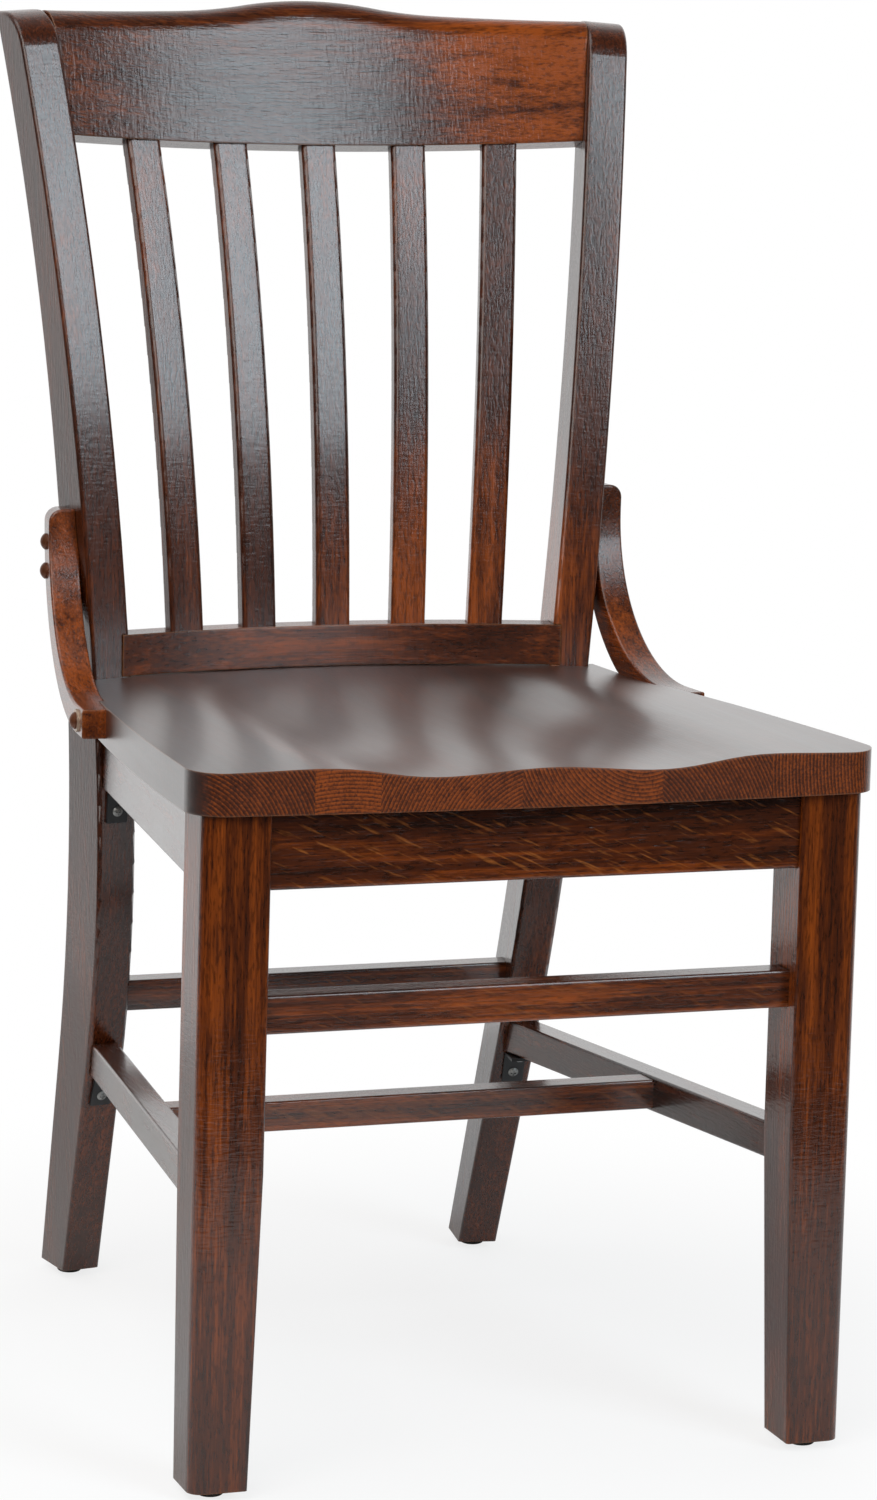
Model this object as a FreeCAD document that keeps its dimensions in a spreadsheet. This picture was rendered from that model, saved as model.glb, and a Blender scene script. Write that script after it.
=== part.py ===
"""Wooden schoolhouse chair: toed-in sabre legs, bowed back with slats, saddle seat, curved hip braces.

Millimetres. X runs across the chair, Y from front to back, Z up from the floor. The origin is on the
floor, midway across the chair and midway between the front of the seat and the heels of the rear legs.
The right-hand pieces are modelled, and the left-hand ones are their mirror images.
"""
import FreeCAD
import Part
import Sketcher
import math
import os

# Numbers are driving sizes. A text is a formula that ties a size to the ones above it.
SIZES = {
    # joints between the pieces
    "fit_gap": 0.15,
    "housing": 8.0,
    "edge_radius": 1.6,
    # seat, whose height, width and front edge drive the rest of the chair
    "seat_front_y": -270.1,
    "seat_front_height": 455.5,
    "seat_half_width": 223.5,
    "seat_thickness": 28.0,
    "seat_tilt": 0.9,
    "seat_taper": 38.5,
    "seat_front_bow": 7.6,
    "seat_corner_run": 22.2,
    "seat_corner_depth": 32.6,
    "seat_corner_radius": 24.0,
    "seat_side_radius": 3400.0,
    "dish_depth": 12.0,
    "seat_corner_x": "=seat_half_width - seat_corner_run",
    "seat_widest_y": "=seat_front_y + seat_corner_depth",
    "seat_rear_half_width": "=seat_half_width - seat_taper",
    "dish_half_width": "=seat_half_width * 0.685",
    # rear legs, each sawn from one board; heights are along the leg
    "post_thickness": 27.8,
    "toe_angle": 8.7,
    "lean_angle": 3.95,
    "post_inset": 20.1,
    "post_seat_x": "=seat_rear_half_width - post_inset",
    "post_front_y": 122.9,
    "post_seat_height": "=seat_front_height - (post_front_y - seat_front_y) * tan(seat_tilt)",
    "leg_bend_drop": 20.0,
    "leg_bend_top": "=post_seat_height - leg_bend_drop",
    "leg_bend_low": 170.0,
    "leg_bend_radius": 750.0,
    "back_bend_radius": 1400.0,
    "back_rise": 420.4,
    "roll_height": "=post_seat_height + back_rise",
    "roll_radius": 32.0,
    "waist_rise": 60.0,
    "waist_height": "=post_seat_height + waist_rise",
    "waist_depth": 44.5,
    "heel_bend_low": 165.0,
    "heel_bend_radius": 1150.0,
    "rear_bend_radius": 1200.0,
    "post_edge_radius": 2.5,
    "seat_shoulder_setback": 7.3,
    "seat_rear_setback": 43.3,
    "seat_tongue_stop": 16.9,
    "seat_shoulder_y": "=post_front_y + seat_shoulder_setback",
    "seat_rear_y": "=post_front_y + seat_rear_setback",
    "seat_tongue_half_width": "=post_seat_x - seat_tongue_stop",
    # front legs
    "leg_inset": 8.0,
    "front_leg_setback": 15.1,
    "front_leg_outer_x": "=seat_half_width - leg_inset",
    "front_leg_front_y": "=seat_front_y + front_leg_setback",
    "front_leg_width": 42.5,
    "front_foot_width": 37.0,
    "foot_splay": 1.6,
    "foot_advance": 3.0,
    "taper_height": 205.0,
    "leg_corner_radius": 9.0,
    "leg_edge_radius": 2.0,
    # aprons
    "apron_height": 47.5,
    "apron_thickness": 20.0,
    "front_apron_setback": 4.0,
    "side_apron_inset": 4.4,
    "side_apron_flare": 5.1,
    "side_apron_front_x": "=front_leg_outer_x - side_apron_inset",
    "side_apron_rear_x": "=post_seat_x + side_apron_flare",
    "side_apron_rear_y": "=post_front_y + housing",
    "rear_apron_setback": 12.3,
    "rear_apron_stop": 5.9,
    "rear_apron_y": "=post_front_y + rear_apron_setback",
    "rear_apron_half_length": "=post_seat_x - rear_apron_stop",
    # stretchers
    "stretcher_thickness": 18.5,
    "front_stretcher_low": 288.6,
    "front_stretcher_height": 24.0,
    "front_stretcher_setback": 11.0,
    "rear_stretcher_low": 207.8,
    "rear_stretcher_height": 21.4,
    "rear_stretcher_setback": 44.3,
    "rear_stretcher_stop": 13.9,
    "rear_stretcher_y": "=post_front_y + rear_stretcher_setback",
    "rear_stretcher_half_length": "=post_seat_x - rear_stretcher_stop",
    "side_stretcher_height": 23.9,
    "side_stretcher_inset": 6.2,
    "side_stretcher_stop": 2.5,
    "side_stretcher_setback": 53.3,
    "side_stretcher_front_x": "=front_leg_outer_x - side_stretcher_inset",
    "side_stretcher_rear_x": "=post_seat_x - side_stretcher_stop",
    "side_stretcher_rear_y": "=post_front_y + side_stretcher_setback",
    "side_stretcher_front_low": 177.6,
    "side_stretcher_rear_low": 162.6,
    "cross_stretcher_setback": 227.1,
    "cross_stretcher_y": "=seat_front_y + cross_stretcher_setback",
    "cross_stretcher_height": 20.0,
    "cross_stretcher_drop": 1.5,
    # back
    "low_rail_height": 28.0,
    "low_rail_thickness": 20.0,
    "low_rail_stop": 14.9,
    "low_rail_half_span": "=post_seat_x - low_rail_stop",
    "low_rail_bow": 20.0,
    "low_rail_setback": 2.5,
    "crest_drop": 67.6,
    "crest_rise": "=back_rise - crest_drop",
    "crest_low_height": "=post_seat_height + crest_rise",
    "crest_rake": 14.5,
    "crest_bow": 24.0,
    "crest_setback": 12.4,
    "crest_low_y": "=post_front_y + back_bend_radius - sqrt(back_bend_radius ^ 2 - crest_rise ^ 2)"
                   " + crest_setback + crest_bow",
    "crest_flare": 18.1,
    "crest_overrun": 33.1,
    "crest_half_span": "=post_seat_x + crest_flare",
    "crest_half_length": "=post_seat_x + crest_overrun",
    "crest_thickness": 22.0,
    "crest_end_height": 87.9,
    "crest_shoulder_x": "=crest_half_span * 0.52",
    "crest_shoulder_height": 93.5,
    "hump_join_x": "=crest_half_span * 0.273",
    "hump_join_height": 98.9,
    "crest_peak_height": 103.8,
    "crest_hollow_radius": 410.0,
    "crest_roll_radius": 17.0,
    "crest_back_radius": 4.0,
    "dowel_radius": 4.0,
    "dowel_length": 24.0,
    "dowel_low": 24.0,
    "dowel_high": 60.0,
    "slat_width": 24.5,
    "slat_thickness": 13.0,
    "slat_edge_radius": 3.0,
    "slat_bend_radius": 1400.0,
    "slat_low_pitch": "=low_rail_half_span * 0.357",
    "slat_top_pitch": "=crest_half_span * 0.352",
    "slat_low_setback": 3.5,
    "slat_top_setback": 2.0,
    "slat_turn": 4.8,
    # hip braces; the left one is cut a little shorter
    "brace_width": 20.5,
    "brace_depth": 19.0,
    "brace_bend_radius": 108.0,
    "brace_bend_ahead": 93.7,
    "brace_tip_ahead": 116.7,
    "brace_setback": 13.3,
    "brace_sink": 3.3,
    "brace_straight": 17.5,
    "brace_left_drop": 11.5,
    "brace_flare": 1.0,
    "brace_bend_y": "=post_front_y - brace_bend_ahead",
    "brace_tip_y": "=post_front_y - brace_tip_ahead",
    "brace_inner_y": "=post_front_y + brace_setback",
    "brace_inner_x": "=seat_rear_half_width + brace_flare",
    "brace_bend_height": "=seat_front_height - (brace_bend_y - seat_front_y) * tan(seat_tilt)"
                         " - brace_sink + brace_bend_radius",
    "brace_top_height": "=brace_bend_height + brace_straight",
    "brace_turn": 5.1,
    "brace_corner_radius": 9.0,
    "brace_edge_radius": 1.5,
    # bolts through the braces
    "bolt_radius": 3.0,
    "bolt_head_radius": 5.5,
    "bolt_head_height": 4.0,
    "post_bolt_length": 34.0,
    "post_bolt_high_drop": 16.8,
    "post_bolt_low_drop": 36.5,
    "post_bolt_setback": 24.3,
    "post_bolt_high": "=brace_bend_height - post_bolt_high_drop",
    "post_bolt_low": "=brace_bend_height - post_bolt_low_drop",
    "post_bolt_y": "=post_front_y + post_bolt_setback",
    "seat_bolt_length": 45.0,
    "seat_bolt_ahead": 100.7,
    "seat_bolt_y": "=post_front_y - seat_bolt_ahead",
    "washer_radius": 7.5,
    "washer_thickness": 1.5,
    # corner brackets and their screws
    "bracket_leg": 24.0,
    "bracket_width": 15.0,
    "bracket_thickness": 2.0,
    "screw_radius": 1.8,
    "screw_length": 13.0,
    "screw_head_radius": 3.6,
    "screw_head_height": 2.2,
    "recess_length": 4.2,
    "recess_width": 1.1,
    "recess_depth": 1.3,
    # corner blocks and seat screws
    "block_leg": 80.0,
    "block_bite": 10.0,
    "block_height": 28.0,
    "seat_screw_length": 40.0,
    "seat_screw_radius": 2.2,
    "seat_screw_head_radius": 4.5,
    "seat_screw_head_height": 2.5,
    # glides
    "glide_radius": 8.8,
    "glide_face_radius": 6.5,
    "glide_height": 6.0,
    "glide_nail_radius": 1.6,
    "glide_nail_length": 16.0,
}

doc = FreeCAD.newDocument("schoolhouse_chair")
sheet = doc.addObject("Spreadsheet::Sheet", "sheet")
for row, (alias, number) in enumerate(SIZES.items(), start=1):
    sheet.set(f"A{row}", alias.replace("_", " "))
    sheet.set(f"B{row}", str(number))
    sheet.setAlias(f"B{row}", alias)
doc.recompute()


class Size:
    """A length or angle that knows its number and the formula that works it out from the sheet."""

    def __init__(self, value, text):
        self.value = value
        self.text = text

    def __add__(self, other):
        other = as_size(other)
        return Size(self.value + other.value, f"({self.text} + {other.text})")

    def __sub__(self, other):
        other = as_size(other)
        return Size(self.value - other.value, f"({self.text} - {other.text})")

    def __mul__(self, other):
        other = as_size(other)
        return Size(self.value * other.value, f"({self.text} * {other.text})")

    def __truediv__(self, other):
        other = as_size(other)
        return Size(self.value / other.value, f"({self.text} / {other.text})")

    def __neg__(self):
        return self * -1

    def __radd__(self, other):
        return as_size(other) + self

    def __rsub__(self, other):
        return as_size(other) - self

    __rmul__ = __mul__


def as_size(number):
    return number if isinstance(number, Size) else Size(float(number), f"({float(number)!r})")


def root(size):
    return Size(math.sqrt(size.value), f"sqrt({size.text})")


def sine(angle):
    return Size(math.sin(math.radians(angle.value)), f"sin({angle.text})")


def cosine(angle):
    return Size(math.cos(math.radians(angle.value)), f"cos({angle.text})")


def arctangent(slope):
    return Size(math.degrees(math.atan(slope.value)), f"(atan({slope.text}) / 1 deg)")


def tangent(angle):
    return sine(angle) / cosine(angle)


def sagitta(radius, rise):
    """How far an arc of this radius has left its tangent after running this far along it."""
    return radius - root(radius * radius - rise * rise)


def arc_slope(radius, rise):
    """Slope of that arc against its tangent, at the same place."""
    return rise / root(radius * radius - rise * rise)


def bow_radius(half_span, bow):
    return (half_span * half_span + bow * bow) / (2 * bow)


class Sheet:
    """The sheet's values by name: size.seat_tilt is the Size of the cell called seat_tilt."""

    def __getattr__(self, alias):
        return Size(float(sheet.get(alias)), f"sheet.{alias}")


size = Sheet()
NONE = as_size(0)


def placement_text(x, y, z, yaw=NONE, pitch=NONE, roll=NONE):
    spots = "; ".join(as_size(v).text for v in (x, y, z))
    turns = "; ".join(as_size(v).text for v in (yaw, pitch, roll))
    return f"create(<<placement>>; create(<<vector>>; {spots}); create(<<rotation>>; {turns}))"


def leaning_text(x, y, z, turn, lean):
    """A placement that turns a piece about the vertical first and leans it sideways after that."""
    spots = "; ".join(as_size(v).text for v in (x, y, z))
    turned = f"create(<<rotation>>; {turn.text}; 0; 0)"
    leaned = f"create(<<rotation>>; 0; {lean.text}; 0)"
    return f"create(<<placement>>; create(<<vector>>; {spots}); {leaned} * {turned})"


def place(thing, x, y, z, yaw=NONE, pitch=NONE, roll=NONE):
    thing.setExpression("Placement", placement_text(x, y, z, yaw, pitch, roll))
    return thing


def bind(thing, **sizes):
    for name, value in sizes.items():
        thing.setExpression(name, as_size(value).text)
    return thing


def body_plane(body, role):
    return next(f for f in body.Origin.OriginFeatures if f.Role == role)


def arc_between(start, end, radius, turns_left):
    """The sketch arc from start to end, and which of its two ends is the start."""
    chord = end - start
    half = chord.Length / 2
    reach = math.sqrt(max(radius * radius - half * half, 0.0))
    side = FreeCAD.Vector(-chord.y, chord.x, 0).normalize()
    centre = (start + end) * 0.5 + side * (reach if turns_left else -reach)
    first, last = (start, end) if turns_left else (end, start)
    begin = math.atan2(first.y - centre.y, first.x - centre.x)
    finish = math.atan2(last.y - centre.y, last.x - centre.x)
    if finish < begin:
        finish += 2 * math.pi
    circle = Part.Circle(centre, FreeCAD.Vector(0, 0, 1), radius)
    return Part.ArcOfCircle(circle, begin, finish), 1 if turns_left else 2


def draw(body, name, role, corners, bends=None, offset=None):
    """A closed outline through the corners. bends gives the radius and turn of the edges that are arcs."""
    bends = bends or {}
    outline = body.newObject("Sketcher::SketchObject", name)
    outline.AttachmentSupport = [(body_plane(body, role), "")]
    outline.MapMode = "FlatFace"
    if offset:
        outline.setExpression("AttachmentOffset", offset)
    corners = [(as_size(u), as_size(v)) for u, v in corners]
    spots = [FreeCAD.Vector(u.value, v.value, 0) for u, v in corners]
    heads = []
    for i, spot in enumerate(spots):
        nearby = spots[(i + 1) % len(spots)]
        if i in bends:
            radius, turns_left = bends[i]
            edge, head = arc_between(spot, nearby, radius.value, turns_left)
        else:
            edge, head = Part.LineSegment(spot, nearby), 1
        outline.addGeometry(edge, False)
        heads.append(head)
    for i, (u, v) in enumerate(corners):
        after = (i + 1) % len(corners)
        outline.addConstraint(Sketcher.Constraint("Coincident", i, 3 - heads[i], after, heads[after]))
        across = outline.addConstraint(Sketcher.Constraint("DistanceX", -1, 1, i, heads[i], u.value))
        outline.setExpression(f"Constraints[{across}]", u.text)
        along = outline.addConstraint(Sketcher.Constraint("DistanceY", -1, 1, i, heads[i], v.value))
        outline.setExpression(f"Constraints[{along}]", v.text)
        if i in bends:
            bend = outline.addConstraint(Sketcher.Constraint("Radius", i, bends[i][0].value))
            outline.setExpression(f"Constraints[{bend}]", bends[i][0].text)
    return outline


def new_body(name):
    return doc.addObject("PartDesign::Body", name)


def pad(body, outline, length, both_ways=False, reverse=False):
    feature = body.newObject("PartDesign::Pad", f"{body.Name}_pad")
    feature.Profile = outline
    feature.SideType = "Symmetric" if both_ways else "One side"
    feature.Reversed = reverse
    bind(feature, Length=length)
    outline.Visibility = False
    return feature


def pocket_through(body, outline):
    """Cuts the outline out of the body on both sides of its plane."""
    feature = body.newObject("PartDesign::Pocket", f"{body.Name}_pocket")
    feature.Profile = outline
    feature.SideType = "Symmetric"
    feature.Type = "ThroughAll"
    doc.recompute()
    return feature


def loft(body, outlines, smooth=False):
    feature = body.newObject("PartDesign::AdditiveLoft", f"{body.Name}_loft")
    feature.Profile = outlines[0]
    feature.Sections = outlines[1:]
    feature.Ruled = not smooth
    return feature


def round_edges(body, base, radius, wanted):
    """Fillets the edges of base that the test wants. The edges are tested in the body's own frame."""
    doc.recompute()
    names = [f"Edge{i}" for i, edge in enumerate(base.Shape.Edges, start=1) if wanted(edge)]
    feature = body.newObject("PartDesign::Fillet", f"{body.Name}_fillet")
    feature.Base = (base, names)
    bind(feature, Radius=radius)
    body.Tip = feature
    return feature


def cut_away(name, base, tools):
    """The base piece less the room that other pieces take up in it."""
    room = tools[0]
    if len(tools) > 1:
        room = doc.addObject("Part::MultiFuse", f"{name}_rooms")
        room.Shapes = tools
    piece = doc.addObject("Part::Cut", name)
    piece.Base = base
    piece.Tool = room
    return piece


def mirror(name, source):
    twin = doc.addObject("Part::Mirroring", name)
    twin.Source = source
    twin.Normal = FreeCAD.Vector(1, 0, 0)
    return twin


def bar_box(name, x, y, z, length, width, height, grow=NONE, turns=(NONE, NONE, NONE)):
    """A straight bar from its low front left corner, larger by grow on every side."""
    bar = doc.addObject("Part::Box", name)
    bind(bar, Length=length + 2 * grow, Width=width + 2 * grow, Height=height + 2 * grow)
    return place(bar, x - grow, y - grow, z - grow, *turns)


def soft_rectangle(left, right, low, high, radii):
    """Corners and bends of a rectangle with rounded corners. radii start at the low left corner."""
    a, b, c, d = radii
    corners = [(left + a, low), (right - b, low), (right, low + b), (right, high - c),
               (right - c, high), (left + d, high), (left, high - d), (left, low + a)]
    return corners, {1: (b, True), 3: (c, True), 5: (d, True), 7: (a, True)}


def eased_section(left, right, low, high, grow):
    """Section of a rail with eased edges, larger by grow on every side."""
    radii = [size.edge_radius + grow] * 4
    return soft_rectangle(left - grow, right + grow, low - grow, high + grow, radii)


def across_bar(name, reach, y, low, thick, tall, grow=NONE):
    """A straight rail across the chair, as far as reach on both sides of its middle."""
    body = new_body(name)
    corners, bends = eased_section(y, y + thick, low, low + tall, grow)
    outline = draw(body, f"{name}_section", "YZ_Plane", corners, bends)
    pad(body, outline, 2 * (reach + grow), both_ways=True)
    return body


def tapered_bar(name, ends, grow=NONE):
    """A rail along Y. Each end is (y, outer x, low z), with the rail's thickness and height after them."""
    body = new_body(name)
    outlines = []
    for i, (y, outer, low, thick, tall) in enumerate(ends):
        y = y + (grow if i else -grow)
        corners, bends = eased_section(outer - thick, outer, low, low + tall, grow)
        spot = placement_text(0, 0, -y)
        outlines.append(draw(body, f"{name}_end{i}", "XZ_Plane", corners, bends, spot))
    loft(body, outlines)
    return body


def finished(pieces):
    """Recomputes and stops on any object that failed."""
    doc.recompute()
    for thing in doc.Objects:
        if "Invalid" in thing.State or "Error" in thing.State:
            raise RuntimeError(f"{thing.Name} failed: {thing.State}")
    for name, piece in pieces.items():
        if piece.Shape.isNull() or not piece.Shape.isValid() or not piece.Shape.Solids:
            raise RuntimeError(f"{name} has no valid solid")


# Seat frame: heights under the tilted seat
seat_slope = tangent(size.seat_tilt)


def seat_low(y):
    """Height of the underside of the seat at this distance along the chair."""
    return size.seat_front_height - size.seat_thickness - (y - size.seat_front_y) * seat_slope


# Rear legs
def rear_leg(name, grow=NONE):
    """Sabre leg and back post in one board. Its own frame has Y along its depth and Z along its length."""
    body = new_body(name)
    front_bend = sagitta(size.leg_bend_radius, size.leg_bend_top - size.leg_bend_low)
    front_slope = arc_slope(size.leg_bend_radius, size.leg_bend_top - size.leg_bend_low)
    back_rise = size.roll_height - size.post_seat_height
    roll_y = sagitta(size.back_bend_radius, back_rise)
    roll_sine = back_rise / size.back_bend_radius
    roll_cosine = root(1 - roll_sine * roll_sine)
    top = size.roll_height + size.roll_radius * (1 - roll_sine)
    heel_rise = size.waist_height - size.heel_bend_low
    heel_bend = size.waist_depth + sagitta(size.heel_bend_radius, heel_rise)
    heel_slope = arc_slope(size.heel_bend_radius, heel_rise)
    crown_y = size.waist_depth + sagitta(size.rear_bend_radius, top - size.waist_height)
    corners = [
        (front_bend + size.leg_bend_low * front_slope - grow, 0),
        (heel_bend + size.heel_bend_low * heel_slope + grow, 0),
        (heel_bend + grow, size.heel_bend_low),
        (size.waist_depth + grow, size.waist_height),
        (crown_y + grow, top + grow),
        (roll_y + size.roll_radius * roll_cosine, top + grow),
        (roll_y - grow * roll_cosine, size.roll_height + grow * roll_sine),
        (-grow, size.post_seat_height),
        (-grow, size.leg_bend_top),
        (front_bend - grow, size.leg_bend_low),
    ]
    bends = {
        2: (size.heel_bend_radius - grow, False),
        3: (size.rear_bend_radius - grow, False),
        5: (size.roll_radius + grow, True),
        6: (size.back_bend_radius + grow, True),
        8: (size.leg_bend_radius + grow, True),
    }
    outline = draw(body, f"{name}_profile", "YZ_Plane", corners, bends)
    base = pad(body, outline, size.post_thickness + 2 * grow, both_ways=True)
    if grow is NONE:
        side = size.post_thickness.value / 2
        round_edges(body, base, size.post_edge_radius, lambda edge: all(
            abs(abs(v.X) - side) < 1e-4 for v in edge.Vertexes) and edge.BoundBox.ZMax > 1)
    body.setExpression("Placement", post_place)
    return body


post_foot_x = size.post_seat_x - size.post_seat_height * tangent(size.lean_angle)
post_place = leaning_text(post_foot_x, size.post_front_y, 0, -size.toe_angle, size.lean_angle)


def leg_spot(along, up):
    """A point on the middle plane of the right rear leg, from its depth and its height along the leg."""
    out = along * sine(size.toe_angle)
    x = post_foot_x + out * cosine(size.lean_angle) + up * sine(size.lean_angle)
    y = size.post_front_y + along * cosine(size.toe_angle)
    return x, y, up * cosine(size.lean_angle) - out * sine(size.lean_angle)


def post_x(y, z):
    """Where the middle plane of the right rear leg is, at this distance along the chair and this height."""
    toed = (y - size.post_front_y) * tangent(size.toe_angle) / cosine(size.lean_angle)
    return post_foot_x + toed + z * tangent(size.lean_angle)


# Front legs
def front_leg(name):
    """Square leg, splayed a little, tapered on its two inner faces below the side stretchers."""
    body = new_body(name)
    soft = size.leg_edge_radius
    radii = (soft, size.leg_corner_radius, soft, soft)
    top = seat_low(size.front_leg_front_y + size.front_leg_width) - size.fit_gap
    levels = ((size.glide_height, size.front_foot_width), (size.taper_height, size.front_leg_width),
              (top, size.front_leg_width))
    outlines = []
    for i, (z, width) in enumerate(levels):
        share = (top - z) / (top - size.glide_height)
        outer = size.front_leg_outer_x + size.foot_splay * share
        front = size.front_leg_front_y - size.foot_advance * share
        corners, bends = soft_rectangle(outer - width, outer, front, front + width, radii)
        outlines.append(draw(body, f"{name}_level{i}", "XY_Plane", corners, bends, placement_text(0, 0, z)))
    loft(body, outlines)
    return body


# Seat
def seat_board(name):
    """The board with its outline, before carving. Its own frame lies on the tilted underside."""
    body = new_body(name)
    front = size.seat_front_y
    bow = size.seat_front_bow
    corner_y = front + bow
    half = size.seat_half_width
    widest = size.seat_widest_y
    rear = size.seat_rear_half_width
    shoulder = size.seat_shoulder_y
    tongue = size.seat_tongue_half_width
    corners = [
        (-size.seat_corner_x, corner_y), (size.seat_corner_x, corner_y), (half, widest),
        (rear, shoulder), (tongue, shoulder), (tongue, size.seat_rear_y),
        (-tongue, size.seat_rear_y), (-tongue, shoulder), (-rear, shoulder), (-half, widest),
    ]
    bends = {
        0: (bow_radius(size.seat_corner_x, bow), True),
        1: (size.seat_corner_radius, True),
        2: (size.seat_side_radius, True),
        8: (size.seat_side_radius, True),
        9: (size.seat_corner_radius, True),
    }
    corners = [(x, y - front) for x, y in corners]
    outline = draw(body, f"{name}_outline", "XY_Plane", corners, bends)
    pad(body, outline, size.seat_thickness + size.fit_gap * 10)
    return place(body, 0, front, seat_low(front), 0, 0, -size.seat_tilt)


# Depth of the carving along the seat: share of its length, share of the scoops, share of the middle, width
CARVING = (
    (-0.06, 0.55, 0.20, 0.98),
    (0.06, 0.65, 0.30, 1.00),
    (0.25, 0.86, 0.58, 1.04),
    (0.45, 1.00, 0.86, 1.04),
    (0.65, 1.00, 0.96, 0.98),
    (0.80, 0.62, 0.66, 0.90),
    (0.90, 0.16, 0.18, 0.84),
    (1.00, 0.00, 0.00, 0.80),
)


def seat_carving(name):
    """What the carver takes off the top: two thigh scoops beside a pommel, one hollow towards the back."""
    length = size.seat_rear_y.value - size.seat_front_y.value
    rim = size.seat_thickness.value
    scoop_share = size.dish_depth.value / CARVING[3][1]
    reach = size.seat_half_width.value * 1.1
    above = rim + size.seat_thickness.value
    wires = []
    for along, scoop, middle, wide in CARVING:
        y = along * length
        side = scoop * scoop_share
        pommel = middle * scoop_share
        width = size.dish_half_width.value * wide
        marks = ((reach, 0.0), (width, 0.0), (0.86 * width, 0.10 * side), (0.66 * width, 0.72 * side),
                 (0.48 * width, side), (0.24 * width, 0.5 * (side + pommel)), (0.0, pommel))
        right = [FreeCAD.Vector(x, y, rim - drop) for x, drop in marks]
        left = [FreeCAD.Vector(-p.x, p.y, p.z) for p in reversed(right[:-1])]
        curve = Part.BSplineCurve()
        curve.interpolate(right + left)
        ends = (right[0], left[-1])
        tops = [FreeCAD.Vector(p.x, p.y, above) for p in ends]
        lines = [Part.LineSegment(ends[1], tops[1]), Part.LineSegment(tops[1], tops[0]),
                 Part.LineSegment(tops[0], ends[0])]
        wires.append(Part.Wire([curve.toShape()] + [line.toShape() for line in lines]))
    tool = doc.addObject("Part::Feature", name)
    tool.Shape = Part.makeLoft(wires, True, False)
    return place(tool, 0, size.seat_front_y, seat_low(size.seat_front_y), 0, 0, -size.seat_tilt)


# Back rails
def bowed_rail(name, half_span, bow, thickness, half_length, height, grow=NONE):
    """A rail hollow to the front. The middle of its front face is at the origin of its own frame."""
    body = new_body(name)
    radius = bow_radius(half_span, bow)
    inner = radius - grow
    outer = radius + thickness + grow
    reach = half_length + grow
    end_y = root(inner * inner - reach * reach) - radius
    back_y = root(outer * outer - reach * reach) - radius
    corners = [(-reach, end_y), (-reach, back_y), (reach, back_y), (reach, end_y)]
    bends = {1: (outer, False), 3: (inner, True)}
    outline = draw(body, f"{name}_plan", "XY_Plane", corners, bends, placement_text(0, 0, -grow))
    return body, pad(body, outline, height + 2 * grow)


def low_rail_front(x):
    """Where the front face of the lower back rail is, at this distance from the middle."""
    radius = bow_radius(size.low_rail_half_span, size.low_rail_bow)
    ends = size.post_front_y + size.low_rail_setback
    return ends + size.low_rail_bow - sagitta(radius, x)


def crest_point(x, setback, lift):
    """A point of the crest: its distance behind the front face and above the lower edge, in chair terms."""
    radius = bow_radius(size.crest_half_span, size.crest_bow)
    deep = setback - sagitta(radius, x)
    y = size.crest_low_y + deep * cosine(size.crest_rake) + lift * sine(size.crest_rake)
    z = size.crest_low_height - deep * sine(size.crest_rake) + lift * cosine(size.crest_rake)
    return y, z


def crest(name, grow=NONE):
    """Bowed crest with a raised middle and a rolled top, leaning with the posts."""
    reach = size.crest_half_length + grow
    body, base = bowed_rail(name, size.crest_half_span, size.crest_bow, size.crest_thickness,
                            size.crest_half_length, size.crest_peak_height + size.housing, grow)
    above = size.crest_peak_height + 3 * size.housing
    past = reach + size.housing
    run = size.crest_half_span - size.crest_shoulder_x
    fall = (size.crest_shoulder_height - size.crest_end_height) / run
    end_height = size.crest_shoulder_height - fall * (past - size.crest_shoulder_x) + grow
    shoulder_height = size.crest_shoulder_height + grow
    join_height = size.hump_join_height + grow
    corners = [
        (-past, end_height), (-size.crest_shoulder_x, shoulder_height),
        (-size.hump_join_x, join_height), (size.hump_join_x, join_height),
        (size.crest_shoulder_x, shoulder_height), (past, end_height),
        (past, above), (-past, above),
    ]
    hump = bow_radius(size.hump_join_x, size.crest_peak_height - size.hump_join_height)
    bends = {1: (size.crest_hollow_radius, True), 2: (hump, False), 3: (size.crest_hollow_radius, True)}
    base = pocket_through(body, draw(body, f"{name}_outline", "XZ_Plane", corners, bends))
    body.Tip = base
    radius = bow_radius(size.crest_half_span, size.crest_bow).value
    front_face = radius - grow.value
    back_face = radius + size.crest_thickness.value + grow.value
    low_top = size.crest_end_height.value / 2

    def along_top(edge, face):
        middle = edge.valueAt((edge.FirstParameter + edge.LastParameter) / 2)
        inside = abs(middle.x) < reach.value - 0.5 and middle.z > low_top
        return inside and abs(math.hypot(middle.x, middle.y + radius) - face) < 0.01
    base = round_edges(body, base, size.crest_roll_radius + grow, lambda edge: along_top(edge, front_face))
    round_edges(body, base, size.crest_back_radius + grow, lambda edge: along_top(edge, back_face))
    return place(body, 0, size.crest_low_y, size.crest_low_height, 0, 0, -size.crest_rake)


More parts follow.
